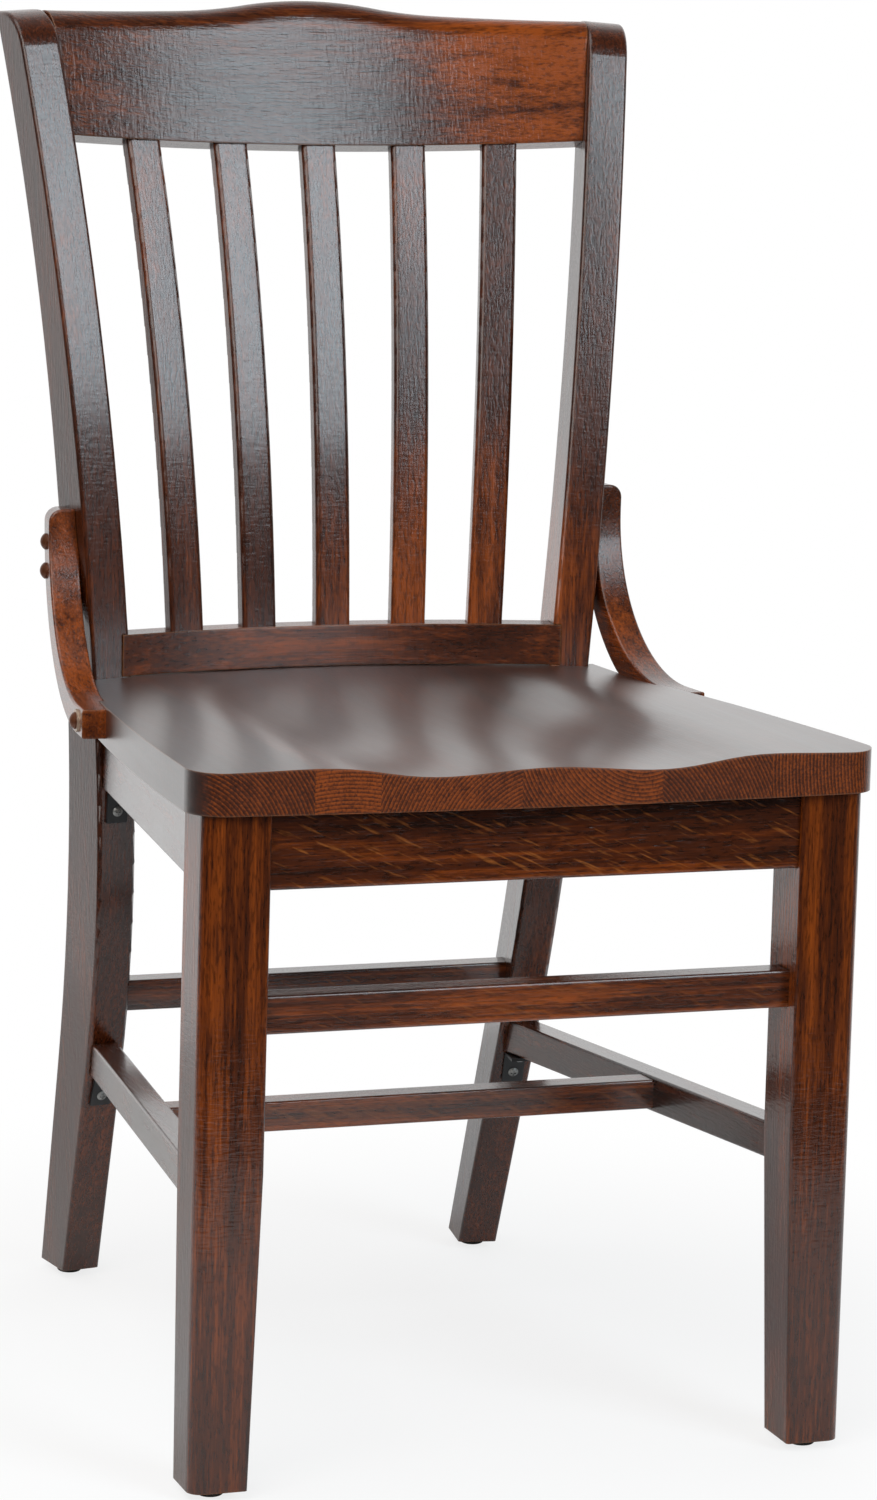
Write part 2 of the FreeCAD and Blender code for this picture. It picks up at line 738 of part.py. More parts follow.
def slat(name, step, grow=NONE):
    """One back slat, bent like the posts, from inside the lower rail to inside the crest.

    It turns to follow the bow of the rails and leans outwards with its distance from the middle.
    """
    body = new_body(name)
    turn = size.slat_turn * step
    thick = size.slat_thickness
    low_x = size.slat_low_pitch * step
    low_y = low_rail_front(low_x) + size.slat_low_setback
    low_z = seat_top_rear + size.low_rail_height - size.housing
    top_x = size.slat_top_pitch * step
    top_y, top_z = crest_point(top_x, size.slat_top_setback, size.housing)
    back = (top_y - low_y) / cosine(turn)
    lean = arctangent((top_x - low_x - back * sine(turn)) / (top_z - low_z))
    length = (top_z - low_z) / cosine(lean)
    corners = [(-grow, -grow), (thick + grow, -grow),
               (back + thick + grow, length + grow), (back - grow, length + grow)]
    bends = {1: (size.slat_bend_radius - thick - grow, False), 3: (size.slat_bend_radius + grow, True)}
    outline = draw(body, f"{name}_profile", "YZ_Plane", corners, bends)
    base = pad(body, outline, size.slat_width + 2 * grow, both_ways=True)
    round_edges(body, base, size.slat_edge_radius + grow,
                lambda edge: edge.BoundBox.ZLength > length.value / 2)
    body.setExpression("Placement", leaning_text(low_x, low_y, low_z, -turn, lean))
    return body


def crest_stop(name):
    """All that lies outside the inner face of the right post, where the crest ends."""
    room = doc.addObject("Part::Box", name)
    inner = -size.post_thickness / 2 - size.fit_gap
    tall = size.back_rise * 2
    bind(room, Length=size.seat_half_width, Width=size.back_rise, Height=tall)
    local = placement_text(inner, -size.waist_depth, size.post_seat_height)
    room.setExpression("Placement", f"{post_place} * {local}")
    return room


def crest_dowel(name, lift):
    """A dowel across the joint between the crest and the right post, and the room that it takes up."""
    y, z = crest_point(size.crest_half_span, size.crest_thickness / 2, lift)
    x = post_x(y, z) - (size.post_thickness + size.dowel_length) / 2
    rod = round_bar(name, size.dowel_radius, size.dowel_length, (x, y, z), pitch=as_size(90))
    gap = size.fit_gap
    room = round_bar(f"{name}_room", size.dowel_radius + gap, size.dowel_length + 2 * gap,
                     (x - gap, y, z), pitch=as_size(90))
    return rod, room


# Hip braces
def brace(name, grow=NONE, drop=NONE):
    """Bent bar from the side of the post to the side of the seat. Its own frame has X outwards.

    drop is how much lower its upper end is cut.
    """
    body = new_body(name)
    inside = size.brace_bend_radius - grow
    outside = size.brace_bend_radius + size.brace_depth + grow
    y = size.brace_bend_y - size.brace_inner_y
    z = size.brace_bend_height
    tip = size.brace_tip_y - size.brace_inner_y - grow
    top = size.brace_top_height - drop + grow
    corners = [(tip, z - outside), (y, z - outside), (y + outside, z), (y + outside, top),
               (y + inside, top), (y + inside, z), (y, z - inside), (tip, z - inside)]
    bends = {1: (outside, True), 5: (inside, False)}
    outline = draw(body, f"{name}_profile", "YZ_Plane", corners, bends, placement_text(0, 0, -grow))
    base = pad(body, outline, size.brace_width + 2 * grow)
    if grow is NONE:
        outer_x = size.brace_width.value

        def top_corner(edge):
            box = edge.BoundBox
            return box.XMin > outer_x - 0.01 and box.ZMin > top.value - 0.01
        base = round_edges(body, base, size.brace_corner_radius, top_corner)

        def long_edge(edge):
            box = edge.BoundBox
            flat = box.XLength < 0.01
            return flat and box.ZMax < top.value - 0.01 and edge.Length > size.brace_depth.value * 1.05
        round_edges(body, base, size.brace_edge_radius, long_edge)
    return place(body, size.brace_inner_x, size.brace_inner_y, 0, size.brace_turn)


def brace_spot(outwards, y, z):
    """A point of the right brace in chair terms, from how far it is outside the brace's inner face."""
    along = y - size.brace_inner_y
    x = size.brace_inner_x + outwards * cosine(size.brace_turn) - along * sine(size.brace_turn)
    return x, size.brace_inner_y + along * cosine(size.brace_turn) + outwards * sine(size.brace_turn), z


def round_bar(name, radius, length, spot, yaw=NONE, pitch=NONE, roll=NONE):
    rod = doc.addObject("Part::Cylinder", name)
    bind(rod, Radius=radius, Height=length)
    return place(rod, *spot, yaw, pitch, roll)


def cross_recess(body, head_height):
    """The cross for the driver, cut into the head of a screw."""
    long = size.recess_length / 2
    short = size.recess_width / 2
    corners = [(long, -short), (long, short), (short, short), (short, long),
               (-short, long), (-short, short), (-long, short), (-long, -short),
               (-short, -short), (-short, -long), (short, -long), (short, -short)]
    outline = draw(body, f"{body.Name}_cross", "XY_Plane", corners, offset=placement_text(0, 0, -head_height))
    feature = body.newObject("PartDesign::Pocket", f"{body.Name}_recess")
    feature.Profile = outline
    feature.Reversed = True
    bind(feature, Length=size.recess_depth)
    outline.Visibility = False


def pin(name, spot, turns, head, shank, crossed=False):
    """A turned bolt or screw with a domed head. It points along its own Z, from under its head at spot."""
    head_radius, head_height = head
    radius, length = shank
    body = new_body(name)
    rim = head_height / 4
    dome = head_height - rim
    corners = [(0, -head_height), (head_radius, -rim), (head_radius, 0), (radius, 0),
               (radius, length - radius), (radius / 2, length), (0, length)]
    bends = {0: (bow_radius(head_radius, dome), True)}
    outline = draw(body, f"{name}_profile", "XZ_Plane", corners, bends)
    turned = body.newObject("PartDesign::Revolution", f"{name}_turned")
    turned.Profile = outline
    turned.ReferenceAxis = (outline, ["V_Axis"])
    turned.Angle = 360.0
    if crossed:
        cross_recess(body, head_height)
    place(body, *spot, *turns)
    return body, round_bar(f"{name}_room", radius + size.fit_gap, length + size.fit_gap, spot, *turns)


def brace_bolt(name, y, z, length, lift):
    """A bolt through the brace, seen as a round head outside. lift is what lies under the head."""
    spot = brace_spot(size.brace_width + lift, y, z)
    return pin(name, spot, (size.brace_turn, as_size(-90), NONE),
               (size.bolt_head_radius, size.bolt_head_height), (size.bolt_radius, length))


# Corner brackets
def bracket(name, corner, face, foot):
    """Bent steel angle. face is how far its upright leg leans, foot is how far its other leg rises."""
    body = new_body(name)
    leg = size.bracket_leg
    thick = size.bracket_thickness
    bend = cosine(face + foot)
    tip = (-leg * cosine(foot), leg * sine(foot))
    toe = (leg * sine(face), -leg * cosine(face))
    corners = [
        (0, 0), tip, (tip[0] - thick * sine(foot), tip[1] - thick * cosine(foot)),
        (-thick * (cosine(foot) - sine(face)) / bend, -thick * (cosine(face) - sine(foot)) / bend),
        (toe[0] - thick * cosine(face), toe[1] - thick * sine(face)), toe,
    ]
    outline = draw(body, f"{name}_profile", "YZ_Plane", corners)
    pad(body, outline, size.bracket_width, both_ways=True)
    return place(body, *corner, -size.toe_angle)


def bracket_screw(name, corner, along, up, roll):
    """A screw of a bracket, from a point of the bracket's own upright plane."""
    x = corner[0] + along * sine(size.toe_angle)
    y = corner[1] + along * cosine(size.toe_angle)
    return pin(name, (x, y, corner[2] + up), (-size.toe_angle, NONE, roll),
               (size.screw_head_radius, size.screw_head_height), (size.screw_radius, size.screw_length), True)


def bracket_set(name, along, up, face, foot):
    """One bracket with its two screws, and the room the screws take up. along and up are on the leg."""
    x, y, z = leg_spot(along, up)
    away = 4 * size.fit_gap
    corner = (x - away * sine(size.toe_angle), y - away * cosine(size.toe_angle), z)
    blank = bracket(f"{name}_blank", corner, face, foot)
    reach = size.bracket_leg * 0.66
    thick = size.bracket_thickness
    foot_along = -reach * cosine(foot) - thick * sine(foot)
    foot_up = reach * sine(foot) - thick * cosine(foot)
    face_along = reach * sine(face) - thick * cosine(face)
    face_up = -reach * cosine(face) - thick * sine(face)
    upward, upward_room = bracket_screw(f"{name}_screw_up", corner, foot_along, foot_up, -foot)
    inward, inward_room = bracket_screw(f"{name}_screw_in", corner, face_along, face_up, face - 90)
    return cut_away(f"{name}_right", blank, [upward_room, inward_room]), (upward, inward), (
        upward_room, inward_room)


# Corner blocks
def corner_block(name, corner, next_x, next_y, rooms):
    """A block across a corner of the seat frame, against the underside of the seat, and its screw."""
    body = new_body(f"{name}_blank")
    front = size.seat_front_y
    x, y = corner
    corners = [(x, y - front), (next_x, y - front), (x, next_y - front)]
    outline = draw(body, f"{name}_plan", "XY_Plane", corners, offset=placement_text(
        0, 0, -size.block_height - size.fit_gap))
    pad(body, outline, size.block_height)
    place(body, 0, front, seat_low(front), 0, 0, -size.seat_tilt)
    screw_x = x + (next_x - x) * 0.42
    screw_y = y + (next_y - y) * 0.42
    drop = size.block_height + size.fit_gap
    spot = (screw_x, screw_y - drop * sine(size.seat_tilt), seat_low(screw_y) - drop * cosine(size.seat_tilt))
    screw, screw_room = pin(f"{name}_screw", spot, (NONE, NONE, -size.seat_tilt),
                            (size.seat_screw_head_radius, size.seat_screw_head_height),
                            (size.seat_screw_radius, size.seat_screw_length))
    return cut_away(f"{name}_right", body, rooms + [screw_room]), screw, screw_room


pieces = {}
gap = size.fit_gap
seat_top_rear = size.seat_front_height - (size.post_front_y - size.seat_front_y) * seat_slope + 3 * gap

# Straight rails of the seat frame, each with the room that it takes up in the legs
front_leg_back = size.front_leg_front_y + size.front_leg_width
front_leg_inner = size.front_leg_outer_x - size.front_leg_width
front_reach = front_leg_inner + size.housing
apron_front_y = size.front_leg_front_y + size.front_apron_setback
stretcher_y = size.front_leg_front_y + size.front_stretcher_setback


def front_apron(name, grow=NONE):
    low = seat_low(apron_front_y + size.apron_thickness) - size.apron_height - gap
    return across_bar(name, front_reach, apron_front_y, low, size.apron_thickness, size.apron_height, grow)


def rear_apron(name, grow=NONE):
    low = seat_low(size.rear_apron_y + size.apron_thickness) - size.apron_height - gap
    return across_bar(name, size.rear_apron_half_length, size.rear_apron_y, low,
                      size.apron_thickness, size.apron_height, grow)


def front_stretcher(name, grow=NONE):
    return across_bar(name, front_reach, stretcher_y, size.front_stretcher_low,
                      size.stretcher_thickness, size.front_stretcher_height, grow)


def rear_stretcher(name, grow=NONE):
    return across_bar(name, size.rear_stretcher_half_length, size.rear_stretcher_y, size.rear_stretcher_low,
                      size.stretcher_thickness, size.rear_stretcher_height, grow)


side_front_y = front_leg_back - size.housing


def side_apron(name, grow=NONE):
    ends = []
    places = ((side_front_y, size.side_apron_front_x), (size.side_apron_rear_y, size.side_apron_rear_x))
    for y, outer in places:
        low = seat_low(y) - size.apron_height - gap
        ends.append((y, outer, low, size.apron_thickness, size.apron_height))
    return tapered_bar(name, ends, grow)


def side_stretcher(name, grow=NONE):
    ends = [
        (side_front_y, size.side_stretcher_front_x, size.side_stretcher_front_low,
         size.stretcher_thickness, size.side_stretcher_height),
        (size.side_stretcher_rear_y, size.side_stretcher_rear_x, size.side_stretcher_rear_low,
         size.stretcher_thickness, size.side_stretcher_height),
    ]
    return tapered_bar(name, ends, grow)


def side_stretcher_at(y):
    """Outer face and lower edge of the right side stretcher at this distance along the chair."""
    share = (y - side_front_y) / (size.side_stretcher_rear_y - side_front_y)
    inwards = size.side_stretcher_rear_x - size.side_stretcher_front_x
    down = size.side_stretcher_rear_low - size.side_stretcher_front_low
    return size.side_stretcher_front_x + inwards * share, size.side_stretcher_front_low + down * share


cross_middle = size.cross_stretcher_y + size.stretcher_thickness / 2
cross_outer, cross_side_low = side_stretcher_at(cross_middle)
cross_reach = cross_outer - size.stretcher_thickness + size.housing
cross_top = cross_side_low + size.side_stretcher_height - size.cross_stretcher_drop
cross_low = cross_top - size.cross_stretcher_height


def cross_stretcher(name, grow=NONE):
    return across_bar(name, cross_reach, size.cross_stretcher_y, cross_low,
                      size.stretcher_thickness, size.cross_stretcher_height, grow)


low_rail_half_length = size.low_rail_half_span + size.housing


def low_rail(name, grow=NONE):
    body, _ = bowed_rail(name, size.low_rail_half_span, size.low_rail_bow, size.low_rail_thickness,
                         low_rail_half_length, size.low_rail_height, grow)
    return place(body, 0, low_rail_front(NONE), seat_top_rear)


# Bolts
bolts = {}
for level, height in (("high", size.post_bolt_high), ("low", size.post_bolt_low)):
    bolts[level] = brace_bolt(
        f"post_bolt_{level}_right", size.post_bolt_y, height, size.post_bolt_length, NONE)
tip_middle = size.brace_bend_height - size.brace_bend_radius - size.brace_depth / 2
seat_bolt, seat_bolt_room = brace_bolt("seat_bolt_right", size.seat_bolt_y, tip_middle,
                                       size.seat_bolt_length, size.washer_thickness)
washer_disc = round_bar("washer_disc", size.washer_radius, size.washer_thickness,
                        brace_spot(size.brace_width + size.washer_thickness, size.seat_bolt_y, tip_middle),
                        size.brace_turn, as_size(-90))
washer_right = cut_away("brace_washer_right", washer_disc, [seat_bolt_room])

# Glides: a dished disc on a nail, turned about the axis of the foot
front_glide_x = size.front_leg_outer_x + size.foot_splay - size.front_foot_width / 2
front_glide_y = size.front_leg_front_y - size.foot_advance + size.front_foot_width / 2
leg_bend_rise = size.leg_bend_top - size.leg_bend_low
heel_bend_rise = size.waist_height - size.heel_bend_low
foot_front_y = sagitta(size.leg_bend_radius, leg_bend_rise) + (
    size.leg_bend_low - size.glide_height) * arc_slope(size.leg_bend_radius, leg_bend_rise)
foot_back_y = size.waist_depth + sagitta(size.heel_bend_radius, heel_bend_rise) + (
    size.heel_bend_low - size.glide_height) * arc_slope(size.heel_bend_radius, heel_bend_rise)
foot_middle = (foot_front_y + foot_back_y) / 2
rear_glide_x, rear_glide_y, _ = leg_spot(foot_middle, size.glide_height)


def glide(name, x, y):
    body = new_body(name)
    rim = size.glide_height - (size.glide_radius - size.glide_face_radius)
    top = size.glide_height
    corners = [(0, 0), (size.glide_face_radius, 0), (size.glide_radius, top - rim), (size.glide_radius, top),
               (size.glide_nail_radius, top), (size.glide_nail_radius, top + size.glide_nail_length),
               (0, top + size.glide_nail_length)]
    bends = {1: (size.glide_radius - size.glide_face_radius, True)}
    outline = draw(body, f"{name}_profile", "XZ_Plane", corners, bends)
    turned = body.newObject("PartDesign::Revolution", f"{name}_turned")
    turned.Profile = outline
    turned.ReferenceAxis = (outline, ["V_Axis"])
    turned.Angle = 360.0
    room = round_bar(f"{name}_room", size.glide_nail_radius + gap, size.glide_nail_length + gap, (x, y, top))
    return place(body, x, y, 0), room


front_glide, front_nail_room = glide("front_glide_right", front_glide_x, front_glide_y)
rear_glide, rear_nail_room = glide("rear_glide_right", rear_glide_x, rear_glide_y)

# Slats, counted from the left
slats = []
slat_rooms = []
for number, step in enumerate((-2, -1, 0, 1, 2), start=1):
    slats.append(slat(f"back_slat_{number}", step))
    slat_rooms.append(slat(f"back_slat_{number}_room", step, gap))
    pieces[f"back_slat_{number}"] = slats[-1]

# Rooms that are cut out of more than one piece
post_room = rear_leg("post_room", gap)
brace_room = brace("brace_room", gap)
side_apron_room = side_apron("side_apron_room", gap)
side_stretcher_room = side_stretcher("side_stretcher_room", gap)
front_apron_room = front_apron("front_apron_room", gap)
rear_apron_room = rear_apron("rear_apron_room", gap)
front_leg_room = bar_box("front_leg_room", front_leg_inner, size.front_leg_front_y, size.taper_height,
                         size.front_leg_width, size.front_leg_width, size.seat_front_height, gap)
floor_room = bar_box("floor_room", NONE, size.post_front_y, -size.glide_height, size.seat_half_width,
                     size.seat_half_width, 2 * size.glide_height)

# Brackets at the rear legs, below the side aprons and below the side stretchers
upper_up = (seat_low(size.post_front_y) - size.apron_height - 3 * gap) / cosine(size.lean_angle)
upper_middle = size.leg_bend_top - upper_up + size.bracket_leg / 2
upper_lean = arc_slope(size.leg_bend_radius, upper_middle)
upper_along = sagitta(size.leg_bend_radius, upper_middle) - upper_lean * size.bracket_leg / 2
lower_lean = arc_slope(size.leg_bend_radius, size.leg_bend_top - size.leg_bend_low)
lower_bend = sagitta(size.leg_bend_radius, size.leg_bend_top - size.leg_bend_low)
lower_up = (size.side_stretcher_rear_low - gap) / cosine(size.lean_angle) + (
    lower_bend * sine(size.toe_angle) * tangent(size.lean_angle))
lower_along = lower_bend + lower_lean * (size.leg_bend_low - lower_up)
stretcher_rise = (size.side_stretcher_front_low - size.side_stretcher_rear_low) / (
    size.side_stretcher_rear_y - side_front_y)
upper_bracket, upper_screws, upper_screw_rooms = bracket_set(
    "upper_bracket", upper_along, upper_up, arctangent(upper_lean), size.seat_tilt)
lower_bracket, lower_screws, lower_screw_rooms = bracket_set(
    "lower_bracket", lower_along, lower_up, arctangent(lower_lean), arctangent(stretcher_rise))

# Corner blocks
front_block_x = size.side_apron_front_x - size.block_bite
front_block_y = apron_front_y + size.apron_thickness + size.block_height * sine(size.seat_tilt) + gap
front_block, front_block_screw, front_block_screw_room = corner_block(
    "front_corner_block", (front_block_x, front_block_y), front_block_x - size.block_leg,
    front_block_y + size.block_leg, [front_leg_room, side_apron_room])
rear_block_x = size.side_apron_rear_x - size.block_bite
rear_block_y = size.rear_apron_y - gap
rear_block, rear_block_screw, rear_block_screw_room = corner_block(
    "rear_corner_block", (rear_block_x, rear_block_y), rear_block_x - size.block_leg,
    rear_block_y - size.block_leg, [post_room, side_apron_room])

# Dowels between the crest and the posts
dowels = {}
for level, lift in (("high", size.dowel_high), ("low", size.dowel_low)):
    dowels[level] = crest_dowel(f"crest_dowel_{level}_right", lift)
dowel_rooms = [room for _, room in dowels.values()]
crest_rooms = [crest_stop("crest_stop"), *dowel_rooms]
crest_room_twins = [mirror(f"{room.Name}_crest_twin", room) for room in crest_rooms]
pieces["crest_rail"] = cut_away("crest_rail", crest("crest_blank"),
                                slat_rooms + crest_rooms + crest_room_twins)
pieces["lower_back_rail"] = cut_away("lower_back_rail", low_rail("low_rail_blank"), slat_rooms)
right = {}
right["rear_leg"] = cut_away("rear_leg_right", rear_leg("rear_leg_blank"), [
    *dowel_rooms, low_rail("low_rail_room", gap), side_apron_room, side_stretcher_room,
    rear_apron_room, rear_stretcher("rear_stretcher_room", gap), bolts["high"][1], bolts["low"][1],
    upper_screw_rooms[1], lower_screw_rooms[1], rear_nail_room, floor_room])
right["front_leg"] = cut_away("front_leg_right", front_leg("front_leg_blank"), [
    front_apron_room, front_stretcher("front_stretcher_room", gap),
    side_apron_room, side_stretcher_room, front_nail_room])
right["side_apron"] = cut_away("side_apron_right", side_apron("side_apron_blank"), [upper_screw_rooms[0]])
right["side_stretcher"] = cut_away("side_stretcher_right", side_stretcher("side_stretcher_blank"),
                                   [cross_stretcher("cross_stretcher_room", gap), lower_screw_rooms[0]])
brace_rooms = [post_room, bolts["high"][1], bolts["low"][1], seat_bolt_room]
pieces["brace_right"] = cut_away("brace_right", brace("brace_blank"), brace_rooms)
short_brace = cut_away("short_brace", brace("short_brace_blank", NONE, size.brace_left_drop), brace_rooms)
pieces["brace_left"] = mirror("brace_left", short_brace)
right["front_glide"] = front_glide
right["rear_glide"] = rear_glide
right["upper_bracket"] = upper_bracket
right["lower_bracket"] = lower_bracket
right["front_corner_block"] = front_block
right["rear_corner_block"] = rear_block

carved = cut_away("carved_seat", seat_board("seat_board"), [seat_carving("seat_carving")])
seat_rooms = [post_room, brace_room, seat_bolt_room, front_block_screw_room, rear_block_screw_room]
pieces["seat"] = cut_away("seat", carved, seat_rooms + [
    mirror(f"{room.Name}_twin", room) for room in seat_rooms])
pieces["front_apron"] = front_apron("front_apron")
pieces["rear_apron"] = rear_apron("rear_apron")
pieces["front_stretcher"] = front_stretcher("front_stretcher")
pieces["rear_stretcher"] = rear_stretcher("rear_stretcher")
pieces["cross_stretcher"] = cross_stretcher("cross_stretcher")

for name, piece in right.items():
    pieces[f"{name}_right"] = piece
    pieces[f"{name}_left"] = mirror(f"{name}_left", piece)

# Fasteners that are alike share a node as a group of separate solids
groups = {
    "crest_dowels": [rod for rod, _ in dowels.values()],
    "brace_post_bolts": [bolts["high"][0], bolts["low"][0]],
    "brace_seat_bolts": [seat_bolt],
    "brace_washers": [washer_right],
    "bracket_screws": [*upper_screws, *lower_screws],
    "seat_screws": [front_block_screw, rear_block_screw],
}
for name, members in groups.items():
    twins = [mirror(f"{member.Name}_twin", member) for member in members]
    group = doc.addObject("Part::Compound", name)
    group.Links = members + twins
    pieces[name] = group

finished(pieces)
os.makedirs("parts", exist_ok=True)
for name, piece in pieces.items():
    piece.Label = name
    piece.Shape.exportStep(f"parts/{name}.step")
print(f"{len(pieces)} pieces written")
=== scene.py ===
"""Looks of a wooden schoolhouse chair: stained wood, black brackets, bronze bolts and a white studio."""
import math

import bpy
from mathutils import Matrix, Vector

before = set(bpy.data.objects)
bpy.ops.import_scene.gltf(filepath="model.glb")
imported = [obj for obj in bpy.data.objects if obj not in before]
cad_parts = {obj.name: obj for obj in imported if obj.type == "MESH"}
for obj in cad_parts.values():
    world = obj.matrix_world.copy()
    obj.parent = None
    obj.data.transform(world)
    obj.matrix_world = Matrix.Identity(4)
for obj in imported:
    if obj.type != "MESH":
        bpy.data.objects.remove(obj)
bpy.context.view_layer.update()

bl_info = {
    "name": "Schoolhouse chair",
    "version": (1, 0, 0),
    "blender": (4, 5, 0),
    "location": "View3D > Sidebar > Chair",
    "description": "Finishes a wooden schoolhouse chair and sets it in a plain studio",
    "category": "Object",
}

BOTH_SIDES = ("left", "right")
SLAT_COUNT = 5

# Grain of a board: the turn that lays it along X, and its direction
GRAIN_TURN = {"X": (0.0, 0.0, 0.0), "Y": (0.0, 0.0, -math.pi / 2), "Z": (0.0, math.pi / 2, 0.0)}
GRAIN_AXIS = {"X": (1.0, 0.0, 0.0), "Y": (0.0, 1.0, 0.0), "Z": (0.0, 0.0, 1.0)}

# Patterns of the wood: repeats in a metre along and across the grain, detail, roughness and distortion
BLOTCH = (4.5, 20.0, 2.0, 0.5, 0.3)
STREAK = (1.6, 130.0, 4.0, 0.6, 0.2)
FIBRE = (30.0, 620.0, 3.0, 0.65, 0.0)
FLECK = (130.0, 620.0, 2.0, 0.5, 0.0)
RIPPLE = (520.0, 110.0, 2.0, 0.5, 0.0)
RAY = (45.0, 420.0, 2.0, 0.5, 0.0)

# Tone of the wood: its mean, where it is dark, plain and warm, and how much each pattern moves it
MEAN_TONE = 0.465
DARK_TONE = 0.22
PLAIN_TONE = 0.48
WARM_TONE = 0.80
FIGURE_WEIGHT = 0.9
FIBRE_WEIGHT = 0.65
STAVE_WEIGHT = 0.2
# How far spots of painted light and painted shade move the tone
PAINTED_LIGHT_WEIGHT = 4.0
END_WARMTH = 0.24

# Staves: the width that they share, how far the pattern jumps, and what keeps the hearts above zero
STAVE_SPAN = 0.5
STAVE_JUMP = 0.7
HEART_LIFT = 0.3

# Growth rings: how they stretch along the grain, and how they waver
RING_STRETCH = (0.12, 1.0, 1.0)
RING_WAVER = {"Distortion": 5.0, "Detail": 2.5, "Detail Scale": 0.06, "Detail Roughness": 0.5}

# Slanting rays: their turn from the grain, and how much they keep to the blotches
RAY_TURN = (math.pi / 2, 0.0, math.radians(-24.0))
RAY_CLUMPING = 0.35

# Ramps: each stop has the value that it stands at and its level
END_STOPS = ((0.45, 0.0), (0.85, 1.0))
PORE_STOPS = ((0.36, 0.4), (0.48, 1.0))
# Edge stops: how far the pale edge of wear and painted highlight reaches
WEAR_AND_HIGHLIGHT_STOPS = ((0.02, 0.0), (0.16, 0.55))
FLOOR_STOPS = ((0.2, 0.78), (0.7, 1.0))
RAY_START, RAY_FULL = 0.74, 0.9
PORE_SHARE = 0.7

# Lacquer: its gloss, the softness of its edges in metres, and its relief
FACE_SHINE = 0.9
END_SHINE = 0.3
THICK_COAT_IOR = 1.7
COAT_ROUGHNESS = 0.14
LOWEST_ROUGHNESS, HIGHEST_ROUGHNESS = -0.07, 0.09
EDGE_RADIUS = 0.0022
EDGE_SAMPLES = 6
FLECK_RELIEF = 0.5
RIPPLE_RELIEF = 0.6
RELIEF_STRENGTH = 0.5
RELIEF_DEPTH = 0.0005

# Paint and plastic: the clouds against the speckles, and the spread of shade and roughness
CLOUD_SIZE = 12
SKIN_DETAIL, CLOUD_DETAIL = 3.0, 2.0
SKIN_ROUGHNESS = 0.55
DARK_SHADE, PALE_SHADE = 0.72, 1.25
CLOUD_START, CLOUD_FULL = 0.3, 0.7
SMOOTHEST_SKIN, ROUGHEST_SKIN = -0.08, 0.1
SKIN_DEPTH = 0.0003

# Studio air: the way that points behind the chair, and where the light turns from dim to full
AIR_BEHIND_X, AIR_BEHIND_Y = 0.35, 0.94
AIR_DIM, AIR_HALF, AIR_FULL = 0.45, 0.74, 0.87
HALF_LIGHT = 0.35
WHITE = (1.0, 1.0, 1.0, 1.0)

# Softboxes: bearing from the front, height angle, distance, width and height, brightness and tint
LAMPS = {
    "window": (27.0, 26.0, 3.2, (1.3, 1.75), 8.0, (0.80, 0.92, 1.0)),
    "left_softbox": (-42.0, 33.0, 3.0, (2.2, 2.2), 3.4, (1.0, 0.97, 0.93)),
    "top_softbox": (-90.0, 66.0, 2.6, (1.6, 2.2), 2.0, (1.0, 1.0, 1.0)),
}
LAMP_TARGET = Vector((0.0, 0.0, 0.55))

# Camera, with its angles in degrees
CAMERA_PLACE = (-1.01782, -2.83323, 0.94013)
CAMERA_YAW, CAMERA_PITCH, CAMERA_ROLL = 19.198, 10.2588, 1.5467
CAMERA_SHIFT = (0.053675, 0.019716)
SENSOR_HEIGHT = 36.0


# Settings
class ChairStain(bpy.types.PropertyGroup):
    """Colours and gloss of the stained wood."""

    dark: bpy.props.FloatVectorProperty(
        name="Dark", description="Colour of the darkest grain", subtype="COLOR", size=3,
        default=(0.022, 0.0068, 0.0036), min=0.0, max=1.0)
    middle: bpy.props.FloatVectorProperty(
        name="Middle", description="Colour of most of the wood", subtype="COLOR", size=3,
        default=(0.068, 0.0142, 0.0034), min=0.0, max=1.0)
    warm: bpy.props.FloatVectorProperty(
        name="Warm", description="Colour of the paler wood between the grain lines", subtype="COLOR", size=3,
        default=(0.270, 0.0540, 0.0050), min=0.0, max=1.0)
    # Edge colour: partly wear of the stain, partly a painted highlight along the eased edges
    wear_and_highlight: bpy.props.FloatVectorProperty(
        name="Worn", description="Colour where the stain is thin along the edges", subtype="COLOR", size=3,
        default=(0.360, 0.140, 0.045), min=0.0, max=1.0)
    flake: bpy.props.FloatVectorProperty(
        name="Flake", description="Colour of the slanting rays", subtype="COLOR", size=3,
        default=(0.330, 0.100, 0.020), min=0.0, max=1.0)
    roughness: bpy.props.FloatProperty(
        name="Roughness", description="Roughness of the satin lacquer", subtype="FACTOR", default=0.25,
        min=0.0, max=1.0)
    ring_width: bpy.props.FloatProperty(
        name="Ring width", description="Distance between two growth rings", default=0.0024, min=0.0005,
        max=0.02, unit="LENGTH")


class ChairHardware(bpy.types.PropertyGroup):
    """Colours of the brackets, fasteners and glides."""

    bracket: bpy.props.FloatVectorProperty(
        name="Brackets", description="Black paint of the corner brackets", subtype="COLOR", size=3,
        default=(0.012, 0.012, 0.013), min=0.0, max=1.0)
    bolt: bpy.props.FloatVectorProperty(
        name="Bolts", description="Bronze brown of the brace bolts", subtype="COLOR", size=3,
        default=(0.13, 0.040, 0.014), min=0.0, max=1.0)
    washer: bpy.props.FloatVectorProperty(
        name="Washers", description="Pale bronze of the washers", subtype="COLOR", size=3,
        default=(0.48, 0.36, 0.27), min=0.0, max=1.0)
    screw: bpy.props.FloatVectorProperty(
        name="Screws", description="Zinc of the bracket and seat screws", subtype="COLOR", size=3,
        default=(0.30, 0.30, 0.29), min=0.0, max=1.0)
    glide: bpy.props.FloatVectorProperty(
        name="Glides", description="Dark plastic of the glides", subtype="COLOR", size=3,
        default=(0.05, 0.042, 0.036), min=0.0, max=1.0)


